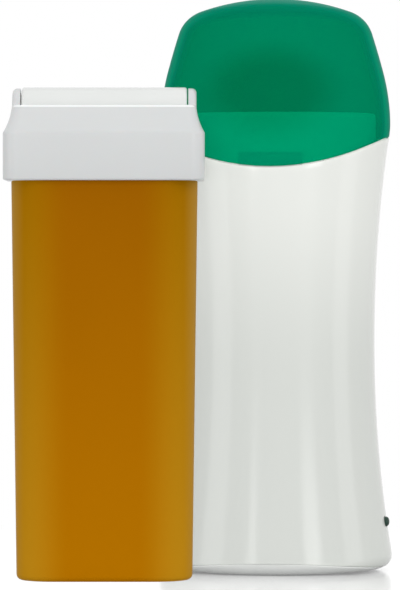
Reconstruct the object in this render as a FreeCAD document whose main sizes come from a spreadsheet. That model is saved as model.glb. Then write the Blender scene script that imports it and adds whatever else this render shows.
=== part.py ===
"""Hand-held roll-on wax heater with its wax cartridge, as separate pieces.

Millimetres, +Z up, front towards -Y, origin where the foot pad's middle meets the table.
"""

import FreeCAD, Part
import Sketcher
import math
import os

from FreeCAD import Placement, Rotation, Vector

doc = FreeCAD.newDocument("RollOnWaxHeater")
sheet = doc.addObject("Spreadsheet::Sheet", "Sizes")
pieces = []

# ---------------------------------------------------------------- driving sizes

SIZES = {
    # outer form of the heater: oval sections, pinched at the waist
    "crown_height": 167.8,
    "base_half_width": 35.2,
    "waist_half_width": 29.15,
    "shoulder_half_width": 33.8,
    "temple_half_width": 31.6,
    "top_half_width": 28.4,
    "base_half_depth": 28.0,
    "waist_half_depth": 24.6,
    "shoulder_half_depth": 26.0,
    "temple_half_depth": 25.0,
    "top_half_depth": 22.6,
    "waist_height": 67.0,
    "shoulder_height": 128.0,
    "temple_height": 147.0,
    "top_height": 172.0,
    "crown_radius": 93.0,
    "rim_radius": 8.0,
    "foot_radius": 4.5,
    "wide_edge": 50.0,
    # shells, cap and their joints
    "wall": 1.6,
    "cap_gap": 0.3,
    "shell_gap": 0.12,
    "smile_height": 118.2,
    "smile_radius": 67.0,
    "arch_height": 4.0,
    "arch_radius": 200.0,
    "arch_gap": 0.15,
    "flange_top": 2.6,
    "flange_width": 2.4,
    "ledge_top": 110.5,
    "ledge_height": 2.5,
    "ledge_depth": 1.6,
    # mouth collar
    "collar_side_gap": 0.41,
    "collar_face_gap": 0.11,
    "collar_wall": 1.2,
    "collar_top": 134.0,
    "deck_thickness": 2.0,
    # base cover and foot pad
    "pad_proud": 0.5,
    "pad_thickness": 1.0,
    "pad_inset": 11.5,
    "plate_thickness": 2.6,
    "plate_gap": 0.3,
    "cover_rim": 2.6,
    # screws through the cover into the shells' bosses
    "boss_angle": 36.4,
    "boss_inset": 3.0,
    "boss_radius": 3.2,
    "boss_top": 17.0,
    "screw_radius": 1.4,
    "screw_head_radius": 2.6,
    "screw_head_height": 1.0,
    "screw_length": 9.0,
    "hole_clearance": 0.2,
    "screw_play": 0.1,
    # wax cartridge, standing beside the heater
    "cartridge_x": -46.2,
    "cartridge_y": -40.2,
    "cartridge_turn": 4.9,
    "container_top_width": 53.2,
    "container_bottom_width": 50.2,
    "container_depth": 26.0,
    "container_corner": 11.0,
    "container_height": 113.8,
    "container_wall": 1.4,
    "container_edge": 1.6,
    "container_bevel": 0.5,
    "wax_gap": 0.15,
    "wax_headspace": 2.0,
    "neck_width": 47.6,
    "neck_depth": 21.6,
    "neck_corner": 8.0,
    "neck_height": 4.8,
    "neck_wall": 1.6,
    "neck_clearance": 0.2,
    "head_width": 57.2,
    "head_depth": 31.0,
    "head_corner": 4.0,
    "skirt_height": 13.4,
    "lip_width": 52.2,
    "lip_depth": 19.6,
    "lip_corner": 2.5,
    "lip_rise": 8.0,
    "head_edge": 0.7,
    "roller_radius": 7.6,
    "roller_length": 47.1,
    "roller_bore": 1.56,
    "roller_rise": 13.3,
    "trough_clearance": 0.4,
    "ear_thickness": 2.3,
    "ear_drop": 0.3,
    "ear_edge": 1.3,
    "axle_radius": 1.5,
    "axle_clearance": 0.05,
    "slot_width": 38.0,
    "slot_depth": 3.0,
    "gate_width": 44.0,
    "gate_depth": 14.0,
    "gate_thickness": 1.4,
    # chamber that takes the cartridge
    "chamber_clearance": 0.35,
    "liner_wall": 0.9,
    "liner_play": 0.05,
    "liner_flange": 1.2,
    "flange_clearance": 0.3,
    # heating stack on the liner's rear face
    "heater_width": 28.0,
    "heater_low": 30.0,
    "heater_high": 110.0,
    "heater_thickness": 2.0,
    "ptc_width": 24.0,
    "ptc_low": 58.0,
    "ptc_high": 92.0,
    "ptc_thickness": 2.2,
    "mica_margin": 1.0,
    "mica_thickness": 0.3,
    "clip_width": 16.0,
    "clip_thickness": 0.6,
    "clip_margin": 8.0,
    "clip_foot": 7.0,
    "clip_screw_radius": 1.0,
    "clip_screw_head": 1.9,
    "clip_screw_head_height": 1.3,
    "clip_screw_bite": 1.6,
    "thermostat_x": -6.0,
    "thermostat_width": 6.6,
    "thermostat_length": 11.0,
    "thermostat_thickness": 3.8,
    "fuse_x": 6.5,
    "fuse_radius": 1.9,
    "fuse_length": 9.0,
    "sensor_low": 31.0,
    # circuit board and what stands on it
    "board_low": 10.0,
    "board_thickness": 1.6,
    "board_half_width": 18.8,
    "board_front": -11.5,
    "board_rear": 11.5,
    "tab_reach": 26.8,
    "tab_half_depth": 4.6,
    "post_x": 14.0,
    "post_radius": 2.6,
    "board_screw_radius": 1.1,
    "board_screw_head": 2.1,
    "board_screw_head_height": 1.4,
    "board_screw_length": 5.0,
    "capacitor_width": 13.0,
    "capacitor_depth": 5.0,
    "capacitor_height": 6.2,
    "capacitor_margin": 2.0,
    "glass_fuse_radius": 1.7,
    "glass_fuse_length": 9.0,
    "glass_fuse_gap": 3.0,
    "glass_fuse_margin": 4.0,
    "led_radius": 1.5,
    "led_height": 4.2,
    # push button in the front shell's right side
    "button_height": 14.0,
    "button_setback": 3.5,
    "button_radius": 1.9,
    "button_clearance": 0.15,
    "button_proud": 1.5,
    "button_dome": 0.9,
    "button_flange": 2.9,
    "button_flange_thickness": 0.8,
    "button_flange_gap": 1.2,
    "button_stem": 0.8,
    "switch_width": 6.0,
    "switch_depth": 4.6,
    "plunger_radius": 1.1,
    "plunger_length": 1.4,
    "plunger_clearance": 0.05,
    "plunger_reach": 0.1,
    "plunger_hole": 2.4,
    # mains inlet at the rear
    "inlet_width": 20.0,
    "inlet_height": 11.0,
    "inlet_corner": 3.0,
    "inlet_front": 12.2,
    "inlet_face_drop": 1.7,
    "inlet_clearance": 0.25,
    "inlet_flange_width": 24.0,
    "inlet_flange_height": 14.0,
    "inlet_flange_thickness": 1.2,
    "inlet_flange_drop": 5.0,
    "socket_width": 15.4,
    "socket_height": 7.6,
    "socket_corner": 3.7,
    "socket_depth": 10.5,
    "pin_radius": 1.2,
    "pin_pitch": 8.6,
    "pin_setback": 1.6,
    "pin_tail": 4.0,
    "pin_fit": 0.05,
    # insulated leads from the board to the heating element
    "lead_radius": 0.6,
    "lead_x": 11.0,
    "lead_start_y": 9.0,
    "lead_bend": 3.0,
}

for row, (name, value) in enumerate(SIZES.items(), start=1):
    sheet.set(f"A{row}", name)
    sheet.set(f"B{row}", str(value))
    sheet.setAlias(f"B{row}", name)
doc.recompute()


def size(formula):
    """The present value of a formula over the sheet's sizes."""
    value = sheet.evalExpression(formula)
    return float(getattr(value, "Value", value))


# ---------------------------------------------------------------- small helpers


def bind(item, **formulas):
    """Ties properties of an object to formulas over the sheet."""
    for prop, formula in formulas.items():
        item.setExpression(prop, formula)
    return item


def place(item, x="0", y="0", z="0"):
    """Ties an object's position to formulas over the sheet."""
    for axis, formula in (("x", x), ("y", y), ("z", z)):
        item.setExpression(f"Placement.Base.{axis}", formula)
    return item


def box(name, x, y, z):
    """A block between two formulas along each axis."""
    item = doc.addObject("Part::Box", name)
    bind(
        item,
        Length=f"({x[1]}) - ({x[0]})",
        Width=f"({y[1]}) - ({y[0]})",
        Height=f"({z[1]}) - ({z[0]})",
    )
    return place(item, x[0], y[0], z[0])


def rod(name, radius, length, axis="Z", x="0", y="0", z="0"):
    """A round bar that starts at a point and runs along one axis."""
    item = doc.addObject("Part::Cylinder", name)
    bind(item, Radius=radius, Height=length)
    turns = {
        "Z": Rotation(),
        "X": Rotation(Vector(0, 1, 0), 90),
        "Y": Rotation(Vector(1, 0, 0), -90),
    }
    item.Placement = Placement(Vector(), turns[axis])
    return place(item, x, y, z)


def cut(name, base, *tools):
    """The base with one or more tools taken away, one after another."""
    for number, tool in enumerate(tools, start=1):
        item = doc.addObject("Part::Cut", name if number == len(tools) else f"{name}_{number}")
        item.Base = base
        item.Tool = tool
        base = item
    return item


def fuse(name, *shapes):
    """Several solids joined into one."""
    item = doc.addObject("Part::MultiFuse", name)
    item.Shapes = list(shapes)
    return item


def common(name, first, second):
    """What two solids share."""
    item = doc.addObject("Part::MultiCommon", name)
    item.Shapes = [first, second]
    return item


def group(name, *shapes):
    """Like pieces kept as separate solids in one node."""
    item = doc.addObject("Part::Compound", name)
    item.Links = list(shapes)
    return item


def keep(item, label):
    """Marks an object as a finished piece and names it."""
    item.Label = label
    pieces.append(item)
    return item


def oval(name, half_width, half_depth, height):
    """A level ellipse at a height."""
    item = doc.addObject("Part::Ellipse", name)
    bind(item, MajorRadius=half_width, MinorRadius=half_depth)
    return place(item, z=height)


def oval_prism(name, half_width, half_depth, low, high):
    """An upright oval column."""
    item = doc.addObject("Part::Extrusion", name)
    item.Base = oval(f"{name}_outline", half_width, half_depth, low)
    item.DirMode = "Custom"
    item.Dir = Vector(0, 0, 1)
    item.Solid = True
    return bind(item, LengthFwd=f"({high}) - ({low})")


def new_body(name):
    """An empty PartDesign body."""
    return doc.addObject("PartDesign::Body", name)


def sketch_on(body, name, role, offset="0"):
    """A sketch on one of its body's own planes, moved along the plane's normal."""
    sketch = body.newObject("Sketcher::SketchObject", name)
    plane = [item for item in body.Origin.OriginFeatures if item.Role == role][0]
    sketch.AttachmentSupport = (plane, [""])
    sketch.MapMode = "FlatFace"
    sketch.setExpression("AttachmentOffset.Base.z", offset)
    return sketch


def tie(sketch, constraint, formula):
    """Adds a sized constraint and ties it to a formula."""
    index = sketch.addConstraint(constraint)
    sketch.setExpression(f"Constraints[{index}]", formula)


def draw_rounded_rectangle(sketch, width, depth, corner):
    """A rectangle with round corners, centred on the sketch's origin."""
    half_w = size(width) / 2
    half_d = size(depth) / 2
    r = size(corner)
    across, up = Vector(1, 0, 0), Vector(0, 1, 0)
    corners = []
    for sx, sy in ((1, -1), (1, 1), (-1, 1), (-1, -1)):
        corners.append(Vector(sx * (half_w - r), sy * (half_d - r), 0))
    starts = (-90, 0, 90, 180)
    for centre, start in zip(corners, starts):
        circle = Part.Circle(centre, Vector(0, 0, 1), r)
        turn = math.radians(start)
        sketch.addGeometry(Part.ArcOfCircle(circle, turn, turn + math.pi / 2), False)
    outward = (across, up, -across, -up)
    for index in range(4):
        following = (index + 1) % 4
        start = corners[index] + outward[index] * r
        end = corners[following] + outward[index] * r
        sketch.addGeometry(Part.LineSegment(start, end), False)
    for index in range(4):
        line = 4 + index
        sketch.addConstraint(Sketcher.Constraint("Tangent", index, 2, line, 1))
        sketch.addConstraint(Sketcher.Constraint("Tangent", line, 2, (index + 1) % 4, 1))
        way = "Vertical" if index % 2 == 0 else "Horizontal"
        sketch.addConstraint(Sketcher.Constraint(way, line))
    for index in (1, 2, 3):
        sketch.addConstraint(Sketcher.Constraint("Equal", 0, index))
    sketch.addConstraint(Sketcher.Constraint("Symmetric", 0, 3, 2, 3, -1, 1))
    tie(sketch, Sketcher.Constraint("Radius", 0, r), corner)
    tie(sketch, Sketcher.Constraint("DistanceX", 6, 1, 4, 1, 2 * half_w), width)
    tie(sketch, Sketcher.Constraint("DistanceY", 7, 1, 5, 1, 2 * half_d), depth)
    return sketch


def level_outline(body, name, width, depth, corner, height):
    """A level rounded rectangle at a height in a body."""
    sketch = sketch_on(body, name, "XY_Plane", height)
    return draw_rounded_rectangle(sketch, width, depth, corner)


def circle_outline(body, name, role, radius, offset, x="0", y="0"):
    """A circle on one of the body's planes, centred at x, y of the sketch."""
    sketch = sketch_on(body, name, role, offset)
    centre = Vector(size(x), size(y), 0)
    sketch.addGeometry(Part.Circle(centre, Vector(0, 0, 1), size(radius)), False)
    tie(sketch, Sketcher.Constraint("Radius", 0, size(radius)), radius)
    for kind, formula, value in (("DistanceX", x, centre.x), ("DistanceY", y, centre.y)):
        if value == 0:
            way = "PointOnObject"
            sketch.addConstraint(Sketcher.Constraint(way, 0, 3, -2 if kind == "DistanceX" else -1))
        else:
            tie(sketch, Sketcher.Constraint(kind, -1, 1, 0, 3, value), formula)
    return sketch


def loft(body, name, kind, outlines):
    """Adds or takes away a straight loft through level outlines."""
    feature = body.newObject(f"PartDesign::{kind}Loft", name)
    feature.Profile = outlines[0]
    feature.Sections = outlines[1:]
    feature.Ruled = True
    return feature


def pad(body, name, sketch, length):
    """Adds material from a sketch along its normal."""
    feature = body.newObject("PartDesign::Pad", name)
    feature.Profile = sketch
    return bind(feature, Length=length)


def pocket(body, name, sketch, length, reverse=False, midplane=False):
    """Takes material away below a sketch, above it when reversed, or to both sides."""
    feature = body.newObject("PartDesign::Pocket", name)
    feature.Profile = sketch
    feature.Reversed = reverse
    if midplane:
        feature.SideType = "Symmetric"
    return bind(feature, Length=length)


def round_edges(body, name, radius, chosen):
    """Rounds the edges of a body's tip that a test picks."""
    doc.recompute()
    tip = body.Tip
    edges = [f"Edge{n}" for n, edge in enumerate(tip.Shape.Edges, start=1) if chosen(edge)]
    if not edges:
        raise RuntimeError(f"{body.Name}: no edge to round for {name}")
    feature = body.newObject("PartDesign::Fillet", name)
    feature.Base = (tip, edges)
    return bind(feature, Radius=radius)


# ---------------------------------------------------------------- outer form of the heater


def flare(end, measure, share):
    """Half width or depth between the waist and an end, growing with the square of the way."""
    waist = f"Sizes.waist_half_{measure}"
    return f"{waist} + (Sizes.{end}_half_{measure} - {waist}) * ({share})^2"


def oval_form(name, inset, crown_height):
    """The heater's oval form, drawn in by an inset, from the table to above the crown."""
    low, waist, shoulder = "Sizes.pad_proud", "Sizes.waist_height", "Sizes.shoulder_height"
    stations = []
    for step in (0, 1, 2):
        height = f"{low} + ({waist} - {low}) * {step} / 3"
        stations.append((height, "base", f"1 - {step} / 3"))
    stations.append((waist, "base", "0"))
    for step in (1, 2, 3):
        height = f"{waist} + ({shoulder} - {waist}) * {step} / 3"
        stations.append((height, "shoulder", f"{step} / 3"))
    ovals = []
    for number, (height, end, share) in enumerate(stations):
        half_width = f"{flare(end, 'width', share)} - ({inset})"
        half_depth = f"{flare(end, 'depth', share)} - ({inset})"
        ovals.append(oval(f"{name}_section_{number}", half_width, half_depth, height))
    for end in ("temple", "top"):
        half_width = f"Sizes.{end}_half_width - ({inset})"
        half_depth = f"Sizes.{end}_half_depth - ({inset})"
        ovals.append(oval(f"{name}_{end}", half_width, half_depth, f"Sizes.{end}_height"))
    column = doc.addObject("Part::Loft", f"{name}_column")
    column.Sections = ovals
    column.Solid = True
    crown = doc.addObject("Part::Sphere", f"{name}_crown")
    bind(crown, Radius=f"Sizes.crown_radius - ({inset})")
    place(crown, z=f"{crown_height} - Sizes.crown_radius")
    return common(name, column, crown)


def in_body(name, form):
    """A body that starts from a form, so that its edges can be rounded."""
    body = new_body(name)
    body.BaseFeature = form
    doc.recompute()
    return body


def is_crown_edge(edge):
    return edge.BoundBox.ZMin > size("Sizes.temple_height") and edge.Length > size("Sizes.wide_edge")


def is_foot_edge(edge):
    return edge.BoundBox.ZMax < size("Sizes.arch_height") and edge.Length > size("Sizes.wide_edge")


hull = in_body("hull", oval_form("outer_form", "0", "Sizes.crown_height"))
round_edges(hull, "crown_rim", "Sizes.rim_radius", is_crown_edge)
round_edges(hull, "foot_rim", "Sizes.foot_radius", is_foot_edge)

hollow = in_body("hollow", oval_form("inner_form", "Sizes.wall", "Sizes.crown_height"))
round_edges(hollow, "hollow_rim", "Sizes.rim_radius - Sizes.wall", is_crown_edge)

flange_form = oval_form(
    "flange_form", "Sizes.wall + Sizes.flange_width", "Sizes.crown_height"
)
plate_form = oval_form(
    "plate_form", "Sizes.wall + Sizes.flange_width + Sizes.plate_gap", "Sizes.crown_height"
)
ledge_form = oval_form("ledge_form", "Sizes.wall + Sizes.ledge_depth", "Sizes.crown_height")

# a block wide enough to take in the whole heater on one side of a plane
REACH = "2 * Sizes.base_half_width"


def slab(name, low, high):
    """Everything between two heights."""
    return box(name, (f"-{REACH}", REACH), (f"-{REACH}", REACH), (low, high))


def cross_cylinder(name, radius, centre_height):
    """A cylinder lying along the depth, over the whole heater."""
    return rod(name, radius, f"2 * {REACH}", "Y", y=f"-{REACH}", z=centre_height)


# ---------------------------------------------------------------- cap

SMILE_CENTRE = "Sizes.smile_height + Sizes.smile_radius"
cap_zone = cross_cylinder("cap_zone", "Sizes.smile_radius", SMILE_CENTRE)
cap_block = common("cap_block", hull, cap_zone)
keep(cut("cap_shape", cap_block, hollow), "cap")

# ---------------------------------------------------------------- room for the wax chamber

DECK_LOW = "(Sizes.collar_top - Sizes.deck_thickness)"
LINER_OUT = "(Sizes.chamber_clearance + Sizes.liner_wall)"
CHAMBER_FLOOR = (
    "(Sizes.collar_top - Sizes.container_height - Sizes.chamber_clearance)"
)
LINER_LOW = f"({CHAMBER_FLOOR} - Sizes.liner_wall)"


def chamber_outline(body, name, grow, end, height):
    """The container's section at its top or bottom end, grown all round."""
    width = f"Sizes.container_{end}_width + 2 * {grow}"
    depth = f"Sizes.container_depth + 2 * {grow}"
    return level_outline(body, name, width, depth, f"Sizes.container_corner + {grow}", height)


def chamber_form(body, name, grow):
    """The upright form of the chamber, grown all round, from its foot to under the deck."""
    foot = chamber_outline(body, f"{name}_foot", grow, "bottom", LINER_LOW)
    head = chamber_outline(body, f"{name}_head", grow, "top", DECK_LOW)
    return loft(body, f"{name}_side", "Additive", [foot, head])


liner_room = new_body("liner_room")
chamber_form(liner_room, "liner_room", f"({LINER_OUT} + Sizes.liner_play)")

# ---------------------------------------------------------------- front and rear shells

ARCH_CENTRE = "Sizes.arch_height - Sizes.arch_radius"
smile_cut = cross_cylinder("smile_cut", "Sizes.smile_radius + Sizes.cap_gap", SMILE_CENTRE)
arch_cut = cross_cylinder("arch_cut", "Sizes.arch_radius + Sizes.arch_gap", ARCH_CENTRE)
wall_block = cut("wall_block", hull, fuse("rim_cuts", smile_cut, arch_cut))
above_flange = slab("above_flange", "Sizes.flange_top", "Sizes.top_height")
ledge_band = slab("ledge_band", "Sizes.ledge_top - Sizes.ledge_height", "Sizes.ledge_top")
ledge_block = cut("ledge_block", ledge_band, ledge_form)
upper_hollow = common("upper_hollow", hollow, above_flange)
ledged_hollow = cut("ledged_hollow", upper_hollow, ledge_block)
casing_blank = cut("casing_blank", wall_block, fuse("casing_hollow", ledged_hollow, flange_form))
casing = cut("casing", casing_blank, liner_room)

PLATE_TOP = "Sizes.pad_proud + Sizes.plate_thickness"
PLATE_CORE = "Sizes.pad_proud + Sizes.plate_thickness / 2"
BOSS_LOW = f"{PLATE_TOP} + Sizes.plate_gap"
# each boss stands an inset inside the wall, measured at its top, where the wall comes nearest,
# with its place rounded to a tenth of a millimetre
BOSS_SHARE = "(Sizes.waist_height - Sizes.boss_top) / (Sizes.waist_height - Sizes.pad_proud)"
BOSS_RUN_X = f"({flare('base', 'width', BOSS_SHARE)} - Sizes.wall - Sizes.boss_inset)"
BOSS_RUN_Y = f"({flare('base', 'depth', BOSS_SHARE)} - Sizes.wall - Sizes.boss_inset)"
BOSS_X = f"(round(10 * {BOSS_RUN_X} * cos(Sizes.boss_angle)) / 10)"
BOSS_Y = f"(round(10 * {BOSS_RUN_Y} * sin(Sizes.boss_angle)) / 10)"


def shell_boss(name, x, y):
    """A screw boss that rises from just over the cover, grown into the shell's wall."""
    return rod(name, "Sizes.boss_radius", f"Sizes.boss_top - ({BOSS_LOW})", "Z", x, y, BOSS_LOW)


def boss_bore(name, x, y):
    """The pilot hole in a boss, as wide as the screw's core."""
    return rod(name, "Sizes.screw_radius", "Sizes.screw_length", "Z", x, y, BOSS_LOW)


def half_shell(name, side, opening):
    """One half of the casing: side is -1 at the front and 1 at the rear."""
    near = "0" if side < 0 else "Sizes.shell_gap"
    far = f"{side} * {REACH}"
    depth = (near, far) if side > 0 else (far, near)
    half_space = box(
        f"{name}_space", (f"-{REACH}", REACH), depth, ("0", "Sizes.top_height")
    )
    half = common(f"{name}_half", casing, half_space)
    bosses, bores = [], []
    for hand, sign in (("left", "-"), ("right", "")):
        x, y = f"{sign}{BOSS_X}", f"{side} * {BOSS_Y}"
        bosses.append(shell_boss(f"{name}_{hand}_boss", x, y))
        bores.append(boss_bore(f"{name}_{hand}_bore", x, y))
    solid = fuse(f"{name}_bossed", half, *bosses)
    return keep(cut(f"{name}_shape", solid, opening, *bores), name)


# where the button leaves the front shell: half the width at its height, less the oval's fall
BUTTON_SHARE = "1 - Sizes.button_height / Sizes.waist_height"
BUTTON_HALF_WIDTH = f"({flare('base', 'width', BUTTON_SHARE)})"
BUTTON_HALF_DEPTH = f"({flare('base', 'depth', BUTTON_SHARE)})"
BUTTON_WALL = (
    f"({BUTTON_HALF_WIDTH} * sqrt(1 - (Sizes.button_setback / {BUTTON_HALF_DEPTH})^2))"
)
button_hole = rod(
    "button_hole",
    "Sizes.button_radius + Sizes.button_clearance",
    "4 * Sizes.wall",
    "X",
    f"{BUTTON_WALL} - 3 * Sizes.wall",
    "-Sizes.button_setback",
    "Sizes.button_height",
)
half_shell("front_shell", -1, button_hole)

# the inlet's pins lie on the board, which sets the inlet's height
BOARD_TOP = "Sizes.board_low + Sizes.board_thickness"
INLET_Z = f"({BOARD_TOP} + Sizes.pin_radius)"
inlet_cutter = new_body("inlet_cutter")
inlet_outline = draw_rounded_rectangle(
    sketch_on(inlet_cutter, "inlet_outline", "XZ_Plane"),
    "Sizes.inlet_width + 2 * Sizes.inlet_clearance",
    "Sizes.inlet_height + 2 * Sizes.inlet_clearance",
    "Sizes.inlet_corner",
)
inlet_cut = pad(inlet_cutter, "inlet_cut", inlet_outline, "2 * Sizes.base_half_depth")
inlet_cut.Reversed = True
place(inlet_cutter, z=INLET_Z)
half_shell("rear_shell", 1, inlet_cutter)

# ---------------------------------------------------------------- base cover, pad, screws

arch_zone = cross_cylinder("arch_zone", "Sizes.arch_radius", ARCH_CENTRE)
cover_edge = common("cover_edge", hull, arch_zone)
cover_plate = common("cover_plate", plate_form, slab("plate_band", PLATE_CORE, PLATE_TOP))
cover_hollow = oval_prism(
    "cover_hollow",
    "Sizes.base_half_width - Sizes.cover_rim",
    "Sizes.base_half_depth - Sizes.cover_rim",
    PLATE_TOP,
    "Sizes.boss_top",
)
PAD_TOP = "Sizes.pad_thickness"
pad_half_width = "Sizes.base_half_width - Sizes.pad_inset"
pad_half_depth = "Sizes.base_half_depth - Sizes.pad_inset"
pad_seat = oval_prism("pad_seat", pad_half_width, pad_half_depth, "0", PAD_TOP)


def screw_places():
    """Names and positions of the four cover screws."""
    for hand, x in (("left", f"-{BOSS_X}"), ("right", BOSS_X)):
        for end, y in (("front", f"-{BOSS_Y}"), ("rear", BOSS_Y)):
            yield f"{end}_{hand}", x, y


screw_holes = []
screws = []
for spot, x, y in screw_places():
    clear = "Sizes.hole_clearance"
    screw_holes.append(
        rod(f"{spot}_hole", f"Sizes.screw_radius + {clear}", BOSS_LOW, "Z", x, y, "0")
    )
    screw_holes.append(
        rod(
            f"{spot}_counterbore",
            f"Sizes.screw_head_radius + {clear}",
            f"{PAD_TOP} + Sizes.screw_head_height",
            "Z",
            x,
            y,
            "0",
        )
    )
    head = rod(
        f"{spot}_head", "Sizes.screw_head_radius", "Sizes.screw_head_height", "Z", x, y, PAD_TOP
    )
    shank = rod(
        f"{spot}_shank", "Sizes.screw_radius", "Sizes.screw_length", "Z", x, y, PAD_TOP
    )
    screws.append(fuse(f"{spot}_screw", head, shank))
keep(group("base_screws_group", *screws), "base_screws")

posts = []
post_bores = []
for hand, x in (("left", "-Sizes.post_x"), ("right", "Sizes.post_x")):
    posts.append(
        rod(
            f"{hand}_post",
            "Sizes.post_radius",
            f"Sizes.board_low - ({PLATE_CORE})",
            "Z",
            x,
            "0",
            PLATE_CORE,
        )
    )
    post_bores.append(
        rod(
            f"{hand}_post_bore",
            "Sizes.board_screw_radius",
            "Sizes.board_screw_length",
            "Z",
            x,
            "0",
            "Sizes.board_low - Sizes.board_screw_length + Sizes.board_thickness",
        )
    )
cover_solid = fuse("cover_solid", cover_edge, cover_plate)
cover_dished = cut("cover_dished", cover_solid, cover_hollow)
cover_posted = fuse("cover_posted", cover_dished, *posts)
keep(cut("cover_shape", cover_posted, pad_seat, *screw_holes, *post_bores), "base_cover")
keep(
    oval_prism(
        "pad_shape",
        f"{pad_half_width} - Sizes.hole_clearance",
        f"{pad_half_depth} - Sizes.hole_clearance",
        "0",
        PAD_TOP,
    ),
    "foot_pad",
)

# ---------------------------------------------------------------- chamber liner and mouth collar

COLLAR_LOW = "Sizes.ledge_top"
LEDGE_SHARE = "(Sizes.ledge_top - Sizes.waist_height) / (Sizes.shoulder_height - Sizes.waist_height)"
COLLAR_HALF_WIDTH = (
    f"({flare('shoulder', 'width', LEDGE_SHARE)} - Sizes.wall - Sizes.collar_side_gap)"
)
COLLAR_HALF_DEPTH = (
    f"({flare('shoulder', 'depth', LEDGE_SHARE)} - Sizes.wall - Sizes.collar_face_gap)"
)
liner = new_body("liner")
chamber_form(liner, "liner", LINER_OUT)
flange_sketch = sketch_on(
    liner, "liner_flange_outline", "XY_Plane", f"{DECK_LOW} - Sizes.liner_flange"
)
flange_major = f"{COLLAR_HALF_WIDTH} - Sizes.collar_wall - Sizes.flange_clearance"
flange_minor = f"{COLLAR_HALF_DEPTH} - Sizes.collar_wall - Sizes.flange_clearance"
flange_sketch.addGeometry(
    Part.Ellipse(Vector(size(flange_major), 0, 0), Vector(0, size(flange_minor), 0), Vector()),
    False,
)
flange_sketch.exposeInternalGeometry(0)
flange_sketch.addConstraint(Sketcher.Constraint("Coincident", 0, 3, -1, 1))
flange_sketch.addConstraint(Sketcher.Constraint("Horizontal", 1))
for line, half in ((1, flange_major), (2, flange_minor)):
    tie(flange_sketch, Sketcher.Constraint("Distance", line, 2 * size(half)), f"2 * ({half})")
pad(liner, "liner_flange", flange_sketch, "Sizes.liner_flange")
loft(
    liner,
    "liner_inside",
    "Subtractive",
    [
        chamber_outline(liner, "chamber_foot", "Sizes.chamber_clearance", "bottom", CHAMBER_FLOOR),
        chamber_outline(liner, "chamber_head", "Sizes.chamber_clearance", "top", DECK_LOW),
    ],
)
keep(liner, "chamber_liner")

collar_outside = oval_prism(
    "collar_outside",
    COLLAR_HALF_WIDTH,
    COLLAR_HALF_DEPTH,
    COLLAR_LOW,
    "Sizes.collar_top",
)
collar_inside = oval_prism(
    "collar_inside",
    f"{COLLAR_HALF_WIDTH} - Sizes.collar_wall",
    f"{COLLAR_HALF_DEPTH} - Sizes.collar_wall",
    f"{COLLAR_LOW} - Sizes.wall",
    DECK_LOW,
)
mouth_cutter = new_body("mouth_cutter")
mouth_outline = chamber_outline(
    mouth_cutter, "mouth_outline", "Sizes.chamber_clearance", "top", f"{DECK_LOW} - Sizes.wall"
)
pad(mouth_cutter, "mouth_cut", mouth_outline, "Sizes.deck_thickness + 2 * Sizes.wall")
collar_blank = cut("collar_blank", collar_outside, collar_inside, mouth_cutter)
keep(cut("collar_shape", collar_blank, liner_room), "mouth_collar")

# ---------------------------------------------------------------- heating stack

LINER_REAR = f"(Sizes.container_depth / 2 + {LINER_OUT})"
HEATER_REAR = f"({LINER_REAR} + Sizes.heater_thickness)"
PTC_REAR = f"({HEATER_REAR} + Sizes.ptc_thickness)"
MICA_REAR = f"({PTC_REAR} + Sizes.mica_thickness)"


def centred(width):
    """Two ends across the width, the same either side of the middle."""
    return f"-({width}) / 2", f"({width}) / 2"


heating_plate = box(
    "heating_plate_blank",
    centred("Sizes.heater_width"),
    (LINER_REAR, HEATER_REAR),
    ("Sizes.heater_low", "Sizes.heater_high"),
)
keep(
    box(
        "ptc_shape",
        centred("Sizes.ptc_width"),
        (HEATER_REAR, PTC_REAR),
        ("Sizes.ptc_low", "Sizes.ptc_high"),
    ),
    "ptc_element",
)
keep(
    box(
        "mica_shape",
        centred("Sizes.ptc_width + 2 * Sizes.mica_margin"),
        (PTC_REAR, MICA_REAR),
        ("Sizes.ptc_low - Sizes.mica_margin", "Sizes.ptc_high + Sizes.mica_margin"),
    ),
    "mica_sheet",
)

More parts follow.
